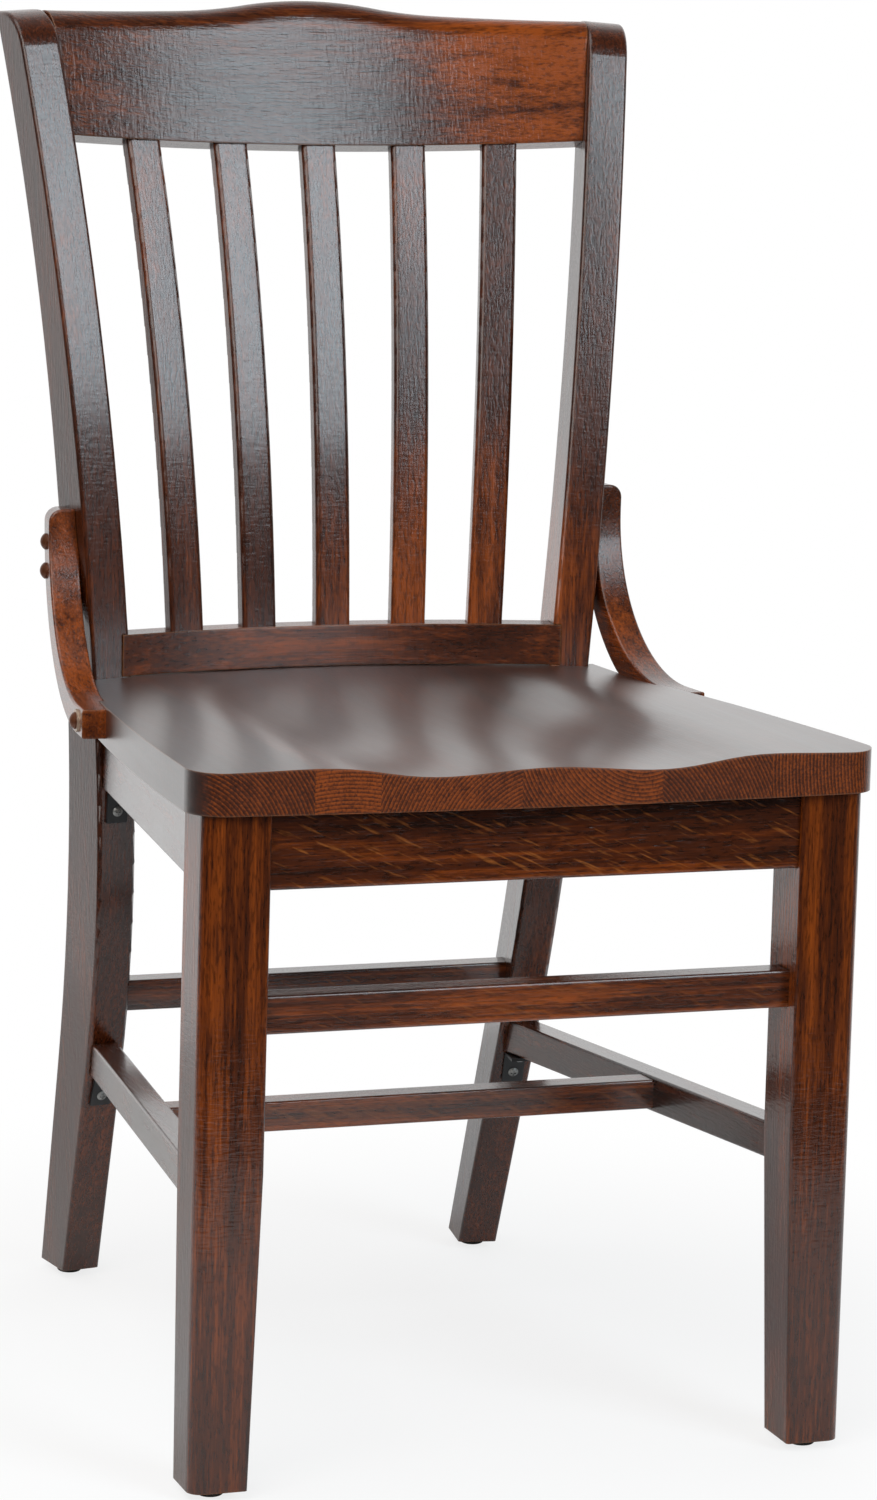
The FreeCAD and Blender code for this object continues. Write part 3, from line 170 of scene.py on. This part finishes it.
class ChairStudio(bpy.types.PropertyGroup):
    """The room around the chair."""

    floor: bpy.props.FloatVectorProperty(
        name="Floor", description="Colour of the floor", subtype="COLOR", size=3,
        default=(0.92, 0.92, 0.92), min=0.0, max=1.0)
    floor_radius: bpy.props.FloatProperty(
        name="Floor radius", description="Radius of the round floor", default=1.05, min=0.5, max=10.0,
        unit="LENGTH")
    back_light: bpy.props.FloatProperty(
        name="Back light", description="Brightness of the white air behind the chair", default=1.1, min=0.0,
        max=5.0)
    front_light: bpy.props.FloatProperty(
        name="Front light", description="Brightness of the air in front of the chair", default=0.035, min=0.0,
        max=5.0)
    focal_length: bpy.props.FloatProperty(
        name="Focal length", description="Lens of the camera", default=111.0626, min=10.0, max=400.0,
        unit="CAMERA")


# Node helpers
class Recipe:
    """The nodes of a finish or of the air, with short calls that add a node and feed it."""

    def __init__(self, tree):
        self.nodes = tree.nodes
        self.links = tree.links

    def feed(self, node, inputs):
        """Fills a node's inputs, each with a plain value or by a link from a socket."""
        for key, value in inputs.items():
            if isinstance(value, bpy.types.NodeSocket):
                self.links.new(value, node.inputs[key])
            else:
                node.inputs[key].default_value = value

    def add(self, kind, inputs=(), **settings):
        """A new node. The settings come before the inputs, because they decide which of them count."""
        node = self.nodes.new(kind)
        for key, value in settings.items():
            setattr(node, key, value)
        self.feed(node, dict(inputs))
        return node

    def coordinates(self, kind):
        """Coordinates of the surface, such as Object or Normal."""
        return self.add("ShaderNodeTexCoord").outputs[kind]

    def mapped(self, vector, **changes):
        """Coordinates changed by a Location, a Rotation or a Scale."""
        return self.add("ShaderNodeMapping", {"Vector": vector, **changes}).outputs["Vector"]

    def math(self, operation, *values):
        """A number worked out from numbers or sockets."""
        return self.add("ShaderNodeMath", enumerate(values), operation=operation).outputs["Value"]

    def vector(self, operation, *values):
        """A vector worked out from vectors or sockets, or a number where the operation gives one."""
        node = self.add("ShaderNodeVectorMath", enumerate(values), operation=operation)
        return next(socket for socket in node.outputs if socket.enabled)

    def pattern(self, vector, along, across, detail, roughness, distortion):
        """Noise with so many repeats in a metre along X and across it."""
        drawn_out = self.mapped(vector, Scale=(along, across, across))
        return self.add("ShaderNodeTexNoise", {
            "Vector": drawn_out, "Scale": 1.0, "Detail": detail, "Roughness": roughness,
            "Distortion": distortion}).outputs["Fac"]

    def ramp(self, value, stops, smooth="LINEAR"):
        """Colours by value. Each stop has its place and its colour."""
        node = self.add("ShaderNodeValToRGB", {"Fac": value})
        node.color_ramp.interpolation = smooth
        elements = node.color_ramp.elements
        while len(elements) < len(stops):
            elements.new(0.5)
        for element, (place, color) in zip(elements, stops):
            element.position = place
            element.color = opaque(color)
        return node.outputs["Color"]

    def levels(self, value, stops, smooth="LINEAR"):
        """Grey levels by value. Each stop has its place and its level."""
        return self.ramp(value, [(place, (level, level, level)) for place, level in stops], smooth)

    def spread(self, value, low, high):
        """A number between low and high."""
        node = self.add("ShaderNodeMapRange", {"Value": value, "To Min": low, "To Max": high})
        return node.outputs["Result"]

    def mix(self, kind, share, below, above):
        """One colour over another. share is a number or a socket, and above is a colour or a socket."""
        node = self.add("ShaderNodeMix", data_type="RGBA", blend_type=kind)
        used = [index for index, socket in enumerate(node.inputs) if socket.enabled]
        self.feed(node, dict(zip(used, (share, below, above))))
        return next(socket for socket in node.outputs if socket.enabled)

    def show(self, output, share, first, second):
        """Ends the recipe with a share of the second shader over the first."""
        surface = self.add("ShaderNodeMixShader", {"Fac": share, 1: first, 2: second})
        self.feed(self.nodes[output], {"Surface": surface.outputs["Shader"]})


def opaque(color):
    """A colour with nothing to see through it."""
    return (*color, 1.0)


def new_finish(name):
    """An empty material, its recipe and its shader."""
    finish = bpy.data.materials.new(name)
    finish.use_nodes = True
    recipe = Recipe(finish.node_tree)
    return finish, recipe, recipe.nodes["Principled BSDF"]


# Wood
def stave_coordinates(recipe, place, turned, staves):
    """Coordinates that jump from stave to stave, and the tone of each stave."""
    across = recipe.add("ShaderNodeSeparateXYZ", {"Vector": place}).outputs["X"]
    share = recipe.math("MULTIPLY_ADD", across, 1.0 / STAVE_SPAN, 0.5)
    stops = [(left / STAVE_SPAN + 0.5, (tone, heart_x + HEART_LIFT, heart_drop))
             for left, tone, heart_x, heart_drop in staves]
    looks = recipe.ramp(share, stops, "CONSTANT")
    jumped = recipe.vector("MULTIPLY_ADD", looks, (STAVE_JUMP, 1.0, 1.0), turned)
    return jumped, recipe.add("ShaderNodeSeparateColor", {"Color": looks}).outputs["Red"]


def growth_rings(recipe, turned, strength):
    """Tone of the rings round the heart, as end grain shows them."""
    # A wave texture of scale 1 has rings pi / 10 apart
    scale = math.pi / 10 / bpy.context.scene.chair_stain.ring_width
    circles = recipe.add(
        "ShaderNodeTexWave",
        {"Vector": recipe.mapped(turned, Scale=RING_STRETCH), "Scale": scale, **RING_WAVER},
        wave_type="RINGS", rings_direction="X", wave_profile="SAW")
    return recipe.math("MULTIPLY_ADD", circles.outputs["Fac"], strength, END_WARMTH - strength / 2)


def end_grain(recipe, grain):
    """Where a face is cut across the grain."""
    cut = recipe.vector("DOT_PRODUCT", recipe.coordinates("Normal"), GRAIN_AXIS[grain])
    return recipe.levels(recipe.math("ABSOLUTE", cut), END_STOPS)


def painted_light_and_shade_spot(recipe, place, patterns, middle, radius):
    """Where a spot of painted light lies, uneven as the patterns are. Weighted below zero, the same spot is
    painted shade.
    """
    inside = recipe.math("MULTIPLY_ADD", recipe.vector("DISTANCE", place, middle), -1.0 / radius, 1.0)
    inside = recipe.math("MAXIMUM", inside, 0.0)
    for pattern in patterns:
        inside = recipe.math("MULTIPLY", inside, pattern)
    return inside


def slanting_rays(recipe, turned, blotch, strength):
    """Where the pale flakes of the rays show."""
    flakes = recipe.pattern(recipe.mapped(turned, Rotation=RAY_TURN), *RAY)
    flakes = recipe.math("MULTIPLY_ADD", blotch, RAY_CLUMPING, flakes)
    return recipe.levels(flakes, ((RAY_START, 0.0), (RAY_FULL, strength)))


def edge_wear_and_highlight(recipe, soft_normal, streak):
    """Where an edge is rubbed pale, in streaks. This pale edge is partly wear of the stain and partly a
    painted highlight of the eased edge.
    """
    facing = recipe.add("ShaderNodeNewGeometry").outputs["Normal"]
    edge = recipe.math("SUBTRACT", 1.0, recipe.vector("DOT_PRODUCT", soft_normal, facing))
    return recipe.levels(recipe.math("MULTIPLY", edge, streak), WEAR_AND_HIGHLIGHT_STOPS)


def stained_wood(name, grain, heart, warmth=0.0, figure=1.0, staves=(), rings=0.0, rays=0.0, dullness=0.0,
                 painted_light_and_shade=(), coat=0.2):
    """Beech under a dark stain and satin lacquer. grain is the axis it runs along, heart is how far
    the middle of the tree lies from the piece, and figure is how strong its streaks are. Each stave has
    its left edge in X, its tone, and the place of its own heart. rings and rays are how much the growth
    rings and the slanting rays show, and dullness is added to the roughness. Each spot of painted light
    has its middle, its radius and how much paler and warmer it is painted there; below zero it is a spot
    of painted shade, painted darker. coat is the weight of the lacquer."""
    stain = bpy.context.scene.chair_stain
    finish, recipe, shader = new_finish(name)
    place = recipe.coordinates("Object")
    turned = recipe.mapped(place, Rotation=GRAIN_TURN[grain], Location=heart)
    if staves:
        turned, stave_tone = stave_coordinates(recipe, place, turned, staves)
    blotch, streak, fibre, fleck, ripple = (
        recipe.pattern(turned, *kind) for kind in (BLOTCH, STREAK, FIBRE, FLECK, RIPPLE))

    tone = recipe.math("MULTIPLY", blotch, FIGURE_WEIGHT * figure)
    tone = recipe.math("MULTIPLY_ADD", streak, FIGURE_WEIGHT * figure, tone)
    tone = recipe.math("MULTIPLY_ADD", fibre, FIBRE_WEIGHT, tone)
    if rings:
        ends = end_grain(recipe, grain)
        tone = recipe.math("MULTIPLY_ADD", growth_rings(recipe, turned, rings), ends, tone)
    if staves:
        tone = recipe.math("MULTIPLY_ADD", stave_tone, STAVE_WEIGHT, tone)
        tone = recipe.math("SUBTRACT", tone, STAVE_WEIGHT / 2)
    # The patterns are a half on average, which is taken off again
    tone = recipe.math("ADD", tone, warmth + MEAN_TONE - FIBRE_WEIGHT / 2 - FIGURE_WEIGHT * figure)
    # Spots of painted light lift the tone, and spots of painted shade, weighted below zero, lower it
    for middle, radius, painted_brightening in painted_light_and_shade:
        inside = painted_light_and_shade_spot(recipe, place, (blotch, streak), middle, radius)
        tone = recipe.math("MULTIPLY_ADD", inside, PAINTED_LIGHT_WEIGHT * painted_brightening, tone)

    color = recipe.ramp(tone, [
        (DARK_TONE, stain.dark), (PLAIN_TONE, stain.middle), (WARM_TONE, stain.warm)])
    if rays:
        flakes = slanting_rays(recipe, turned, blotch, rays)
        color = recipe.mix("MIX", flakes, color, opaque(stain.flake))
    color = recipe.mix("MULTIPLY", PORE_SHARE, color, recipe.levels(fleck, PORE_STOPS))
    soft_edges = recipe.add("ShaderNodeBevel", {"Radius": EDGE_RADIUS}, samples=EDGE_SAMPLES)
    soft_normal = soft_edges.outputs["Normal"]
    # Wear along the edges, partly a painted highlight: the edges are painted a paler orange
    color = recipe.mix("MIX", edge_wear_and_highlight(recipe, soft_normal, streak), color, opaque(stain.wear_and_highlight))

    relief = recipe.math("MULTIPLY_ADD", fleck, FLECK_RELIEF, fibre)
    relief = recipe.math("MULTIPLY_ADD", ripple, RIPPLE_RELIEF, relief)
    bump = recipe.add("ShaderNodeBump", {
        "Height": relief, "Normal": soft_normal, "Strength": RELIEF_STRENGTH, "Distance": RELIEF_DEPTH})
    roughness = stain.roughness + dullness
    recipe.feed(shader, {
        "Base Color": color,
        "Roughness": recipe.spread(streak, roughness + LOWEST_ROUGHNESS, roughness + HIGHEST_ROUGHNESS),
        "Coat Weight": coat,
        "Coat Roughness": COAT_ROUGHNESS + dullness,
        "Normal": bump.outputs["Normal"],
    })
    if rings:
        # End grain drinks up the lacquer and stays dull
        recipe.feed(shader, {
            "Specular IOR Level": recipe.math("MULTIPLY_ADD", ends, END_SHINE - FACE_SHINE, FACE_SHINE),
            "Coat Weight": recipe.math("MULTIPLY_ADD", ends, -coat, coat),
            "Coat IOR": THICK_COAT_IOR,
        })
    return finish


# Paint, plating and plastic
def speckled(name, color, metallic, roughness, fineness=1400.0, depth=0.12):
    """Paint, plating or plastic with a fine uneven skin, of so many speckles in a metre."""
    finish, recipe, shader = new_finish(name)
    place = recipe.coordinates("Object")
    skin = recipe.pattern(place, fineness, fineness, SKIN_DETAIL, SKIN_ROUGHNESS, 0.0)
    coarse = fineness / CLOUD_SIZE
    cloud = recipe.pattern(place, coarse, coarse, CLOUD_DETAIL, SKIN_ROUGHNESS, 0.0)
    shade = recipe.ramp(cloud, [
        (CLOUD_START, [channel * DARK_SHADE for channel in color]),
        (CLOUD_FULL, [min(channel * PALE_SHADE, 1.0) for channel in color])])
    bump = recipe.add("ShaderNodeBump", {"Height": skin, "Strength": depth, "Distance": SKIN_DEPTH})
    recipe.feed(shader, {
        "Base Color": shade,
        "Metallic": metallic,
        "Roughness": recipe.spread(cloud, roughness + SMOOTHEST_SKIN, roughness + ROUGHEST_SKIN),
        "Normal": bump.outputs["Normal"],
    })
    return finish


# Pieces
def dress(node_names, finish):
    """Puts a finish on CAD nodes, in place of what they came with."""
    for name in node_names:
        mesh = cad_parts[name].data
        mesh.materials.clear()
        mesh.materials.append(finish)


def pair(*stems):
    """The names of the left and the right piece of each kind."""
    return [f"{stem}_{side}" for stem in stems for side in BOTH_SIDES]


class CHAIR_OT_finish_seat(bpy.types.Operator):
    """Stains the seat, whose staves run from front to back and show their rings at the front edge"""

    bl_idname = "chair.finish_seat"
    bl_label = "Finish the seat"

    def execute(self, context):
        staves = (
            (-0.25, 0.30, -0.235, 0.10),
            (-0.151, 0.95, -0.13, 0.17),
            (-0.110, 0.48, 0.0, 0.11),
            (-0.02, 0.60, 0.06, 0.02),
            (0.071, 0.28, 0.02, 0.12),
            (0.146, 0.42, 0.30, 0.05),
        )
        dress(["seat"], stained_wood(
            "stained_seat", "Y", (0.0, -HEART_LIFT, -0.5), warmth=-0.13, figure=0.4, staves=staves,
            rings=0.42, dullness=0.16, coat=1.0))
        return {"FINISHED"}


class CHAIR_OT_finish_legs(bpy.types.Operator):
    """Stains the front legs and the rear legs, with the grain along them"""

    bl_idname = "chair.finish_legs"
    bl_label = "Finish the legs"

    def execute(self, context):
        # Painted shade: the front legs are painted darker towards their feet, low under the chair
        painted_shade_on_feet = [((0.2, -0.24, 0.1), 0.24, -0.18), ((-0.2, -0.24, 0.03), 0.16, -0.15)]
        dress(pair("front_leg"), stained_wood(
            "stained_front_legs", "Z", (0.0, 0.31, 0.07), warmth=0.07, figure=0.9, dullness=-0.08,
            painted_light_and_shade=painted_shade_on_feet))
        # Painted light: the right post is painted paler and warmer low down, where the back looks more
        # brightly lit
        painted_light_on_right_post = [((0.16, 0.13, 0.5), 0.12, 0.4)]
        dress(pair("rear_leg"), stained_wood(
            "stained_rear_legs", "Z", (0.0, -0.1, 0.05), warmth=-0.03, figure=0.5, painted_light_and_shade=painted_light_on_right_post,
            coat=0.45))
        return {"FINISHED"}


class CHAIR_OT_finish_back(bpy.types.Operator):
    """Stains the crest, the lower rail and the slats of the back"""

    bl_idname = "chair.finish_back"
    bl_label = "Finish the back"

    def execute(self, context):
        # Painted light: both ends of the crest are painted paler and warmer, the right end most
        painted_light_on_crest_ends = [((0.165, 0.21, 0.85), 0.12, 0.5), ((-0.175, 0.21, 0.87), 0.08, 0.1)]
        dress(["crest_rail"], stained_wood(
            "stained_crest", "X", (0.0, -0.16, -0.85), warmth=-0.07, figure=0.5, rays=0.1, dullness=-0.03,
            painted_light_and_shade=painted_light_on_crest_ends, coat=0.1))
        dress(["lower_back_rail"], stained_wood(
            "stained_lower_rail", "X", (0.2, -0.1, -0.4), warmth=0.05, figure=0.6))
        slats = [f"back_slat_{number}" for number in range(1, SLAT_COUNT + 1)]
        # Painted light: the slats are painted paler and warmer at their feet on the right, where the back
        # looks more brightly lit
        painted_light_on_slat_feet = [((0.09, 0.14, 0.5), 0.13, 0.36)]
        dress(slats, stained_wood(
            "stained_slats", "Z", (0.0, -0.1, 0.04), warmth=-0.02, figure=0.45, painted_light_and_shade=painted_light_on_slat_feet, coat=0.5))
        return {"FINISHED"}


class CHAIR_OT_finish_rails(bpy.types.Operator):
    """Stains the aprons and stretchers, each with the grain along it"""

    bl_idname = "chair.finish_rails"
    bl_label = "Finish the aprons and stretchers"

    def execute(self, context):
        dress(["front_apron", "rear_apron"], stained_wood(
            "stained_aprons", "X", (0.1, 0.21, -0.33), warmth=0.03, rays=0.7, dullness=-0.08, coat=0.1))
        dress(["front_stretcher", "rear_stretcher", "cross_stretcher"], stained_wood(
            "stained_stretchers", "X", (0.4, 0.18, -0.22), warmth=0.01, rays=0.25, coat=0.6))
        dress(pair("side_apron", "side_stretcher"), stained_wood(
            "stained_sides", "Y", (0.0, 0.1, -0.3), warmth=-0.02, coat=0.7))
        return {"FINISHED"}


class CHAIR_OT_finish_braces(bpy.types.Operator):
    """Stains the bent hip braces, and the hidden corner blocks and dowels a little paler"""

    bl_idname = "chair.finish_braces"
    bl_label = "Finish the braces and blocks"

    def execute(self, context):
        # Painted light: the braces are painted paler and warmer on their sides, the right one most
        painted_light_on_braces = [((0.165, 0.06, 0.5), 0.07, 0.9), ((-0.2, 0.05, 0.5), 0.13, 0.4)]
        dress(pair("brace"), stained_wood(
            "stained_braces", "Y", (0.0, 0.16, -0.6), warmth=0.05, figure=0.45, painted_light_and_shade=painted_light_on_braces, coat=0.5))
        dress(pair("front_corner_block", "rear_corner_block") + ["crest_dowels"], stained_wood(
            "stained_blocks", "X", (0.0, 0.1, -0.3), warmth=0.15))
        return {"FINISHED"}


class CHAIR_OT_finish_hardware(bpy.types.Operator):
    """Gives the brackets, screws, bolts, washers and glides their finish"""

    bl_idname = "chair.finish_hardware"
    bl_label = "Finish the hardware"

    def execute(self, context):
        colors = context.scene.chair_hardware
        dress(pair("upper_bracket", "lower_bracket"), speckled(
            "black_bracket", colors.bracket, metallic=0.0, roughness=0.42))
        dress(["bracket_screws", "seat_screws"], speckled(
            "dark_screw", colors.screw, metallic=0.8, roughness=0.42, fineness=900.0, depth=0.05))
        dress(["brace_post_bolts", "brace_seat_bolts"], speckled(
            "bronze_bolt", colors.bolt, metallic=0.3, roughness=0.4))
        dress(["brace_washers"], speckled("bronze_washer", colors.washer, metallic=0.4, roughness=0.34))
        dress(pair("front_glide", "rear_glide"), speckled(
            "glide_plastic", colors.glide, metallic=0.0, roughness=0.5))
        return {"FINISHED"}


# Stage
def lay_floor(studio):
    """A round floor that fades to white away from its middle and keeps the chair's shadow."""
    finish, recipe, shader = new_finish("pale_floor")
    recipe.feed(shader, {"Base Color": opaque(studio.floor), "Roughness": 0.9, "Specular IOR Level": 0.0})
    reach = recipe.vector("LENGTH", recipe.coordinates("Object"))
    fade = recipe.levels(reach, FLOOR_STOPS, "EASE")
    camera_ray = recipe.add("ShaderNodeLightPath").outputs["Is Camera Ray"]
    glow = recipe.add("ShaderNodeEmission").outputs["Emission"]
    share = recipe.math("MULTIPLY", camera_ray, fade)
    recipe.show("Material Output", share, shader.outputs["BSDF"], glow)
    bpy.ops.object.select_all(action="DESELECT")
    bpy.ops.mesh.primitive_circle_add(vertices=96, radius=studio.floor_radius, fill_type="NGON")
    floor = bpy.context.active_object
    floor.name = "floor"
    floor.data.materials.append(finish)


def fill_air(studio):
    """Air that lights the chair from behind and is dim in front. The camera sees it white, and so does
    what reflects the back of the room."""
    world = bpy.data.worlds.new("studio_air")
    bpy.context.scene.world = world
    world.use_nodes = True
    recipe = Recipe(world.node_tree)
    split = recipe.add("ShaderNodeSeparateXYZ", {"Vector": recipe.coordinates("Generated")})
    behind = recipe.math("MULTIPLY", split.outputs["X"], AIR_BEHIND_X)
    behind = recipe.math("MULTIPLY_ADD", split.outputs["Y"], AIR_BEHIND_Y, behind)
    behind = recipe.math("MULTIPLY_ADD", behind, 0.5, 0.5)
    light = recipe.levels(behind, (
        (AIR_DIM, studio.front_light), (AIR_HALF, HALF_LIGHT), (AIR_FULL, studio.back_light)))
    air = recipe.nodes["Background"]
    recipe.feed(air, {"Color": light, "Strength": 1.0})
    white = recipe.add("ShaderNodeBackground", {"Color": WHITE, "Strength": 1.0})
    path = recipe.add("ShaderNodeLightPath").outputs
    backdrop = recipe.levels(behind, ((AIR_HALF, 0.0), (AIR_FULL, 1.0)))
    mirrored = recipe.math("MULTIPLY", path["Is Glossy Ray"], backdrop)
    seen = recipe.math("MAXIMUM", path["Is Camera Ray"], path["Is Transmission Ray"])
    seen = recipe.math("MAXIMUM", seen, mirrored)
    recipe.show("World Output", seen, air.outputs["Background"], white.outputs["Background"])


def hang_lamps():
    """Softboxes that all face the middle of the chair."""
    for name, (bearing, rise, distance, (width, height), brightness, tint) in LAMPS.items():
        turn = math.radians(bearing)
        lift = math.radians(rise)
        way = Vector((math.sin(turn) * math.cos(lift), -math.cos(turn) * math.cos(lift), math.sin(lift)))
        bpy.ops.object.light_add(type="AREA", location=LAMP_TARGET + distance * way)
        lamp = bpy.context.active_object
        lamp.name = name
        lamp.data.shape = "RECTANGLE"
        lamp.data.size = width
        lamp.data.size_y = height
        lamp.data.energy = brightness * math.pi * width * height
        lamp.data.color = tint
        lamp.rotation_euler = (-way).to_track_quat("-Z", "Y").to_euler()
        lamp.visible_camera = False


def place_camera(studio):
    """A camera at the photo's viewing angle."""
    yaw, pitch, roll = (math.radians(angle) for angle in (CAMERA_YAW, CAMERA_PITCH, CAMERA_ROLL))
    ahead = Vector((math.sin(yaw) * math.cos(pitch), math.cos(yaw) * math.cos(pitch), -math.sin(pitch)))
    level = Vector((math.cos(yaw), -math.sin(yaw), 0.0))
    above = level.cross(ahead)
    side = math.cos(roll) * level + math.sin(roll) * above
    top = -math.sin(roll) * level + math.cos(roll) * above
    bpy.ops.object.camera_add(location=CAMERA_PLACE)
    camera = bpy.context.active_object
    camera.rotation_euler = Matrix((side, top, -ahead)).transposed().to_euler()
    camera.data.sensor_fit = "VERTICAL"
    camera.data.sensor_height = SENSOR_HEIGHT
    camera.data.lens = studio.focal_length
    camera.data.shift_x, camera.data.shift_y = CAMERA_SHIFT
    bpy.context.scene.camera = camera


class CHAIR_OT_set_stage(bpy.types.Operator):
    """Sets the floor, the white air, the lamps and the camera"""

    bl_idname = "chair.set_stage"
    bl_label = "Set the stage"

    def execute(self, context):
        studio = context.scene.chair_studio
        context.scene.view_settings.view_transform = "Standard"
        lay_floor(studio)
        fill_air(studio)
        hang_lamps()
        place_camera(studio)
        return {"FINISHED"}


# Add-on
class CHAIR_PT_panel(bpy.types.Panel):
    """Lists the steps that finish the chair, and their settings"""

    bl_idname = "CHAIR_PT_panel"
    bl_label = "Schoolhouse chair"
    bl_space_type = "VIEW_3D"
    bl_region_type = "UI"
    bl_category = "Chair"

    def draw(self, context):
        column = self.layout.column()
        for step in STEPS:
            column.operator(step.bl_idname)
        for group in SETTINGS:
            settings = getattr(context.scene, group)
            box = self.layout.box()
            for key in settings.__annotations__:
                box.prop(settings, key)


SETTINGS = {"chair_stain": ChairStain, "chair_hardware": ChairHardware, "chair_studio": ChairStudio}
STEPS = (
    CHAIR_OT_finish_seat,
    CHAIR_OT_finish_legs,
    CHAIR_OT_finish_back,
    CHAIR_OT_finish_rails,
    CHAIR_OT_finish_braces,
    CHAIR_OT_finish_hardware,
    CHAIR_OT_set_stage,
)


def register():
    """Adds the settings, the steps and the panel."""
    for kind in (*SETTINGS.values(), *STEPS, CHAIR_PT_panel):
        bpy.utils.register_class(kind)
    for name, kind in SETTINGS.items():
        setattr(bpy.types.Scene, name, bpy.props.PointerProperty(type=kind))


def unregister():
    """Takes them away again."""
    for name in SETTINGS:
        delattr(bpy.types.Scene, name)
    for kind in reversed((*SETTINGS.values(), *STEPS, CHAIR_PT_panel)):
        bpy.utils.unregister_class(kind)


def main():
    """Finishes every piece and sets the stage."""
    register()
    bpy.ops.chair.finish_seat()
    bpy.ops.chair.finish_legs()
    bpy.ops.chair.finish_back()
    bpy.ops.chair.finish_rails()
    bpy.ops.chair.finish_braces()
    bpy.ops.chair.finish_hardware()
    bpy.ops.chair.set_stage()


if __name__ == "__main__":
    main()
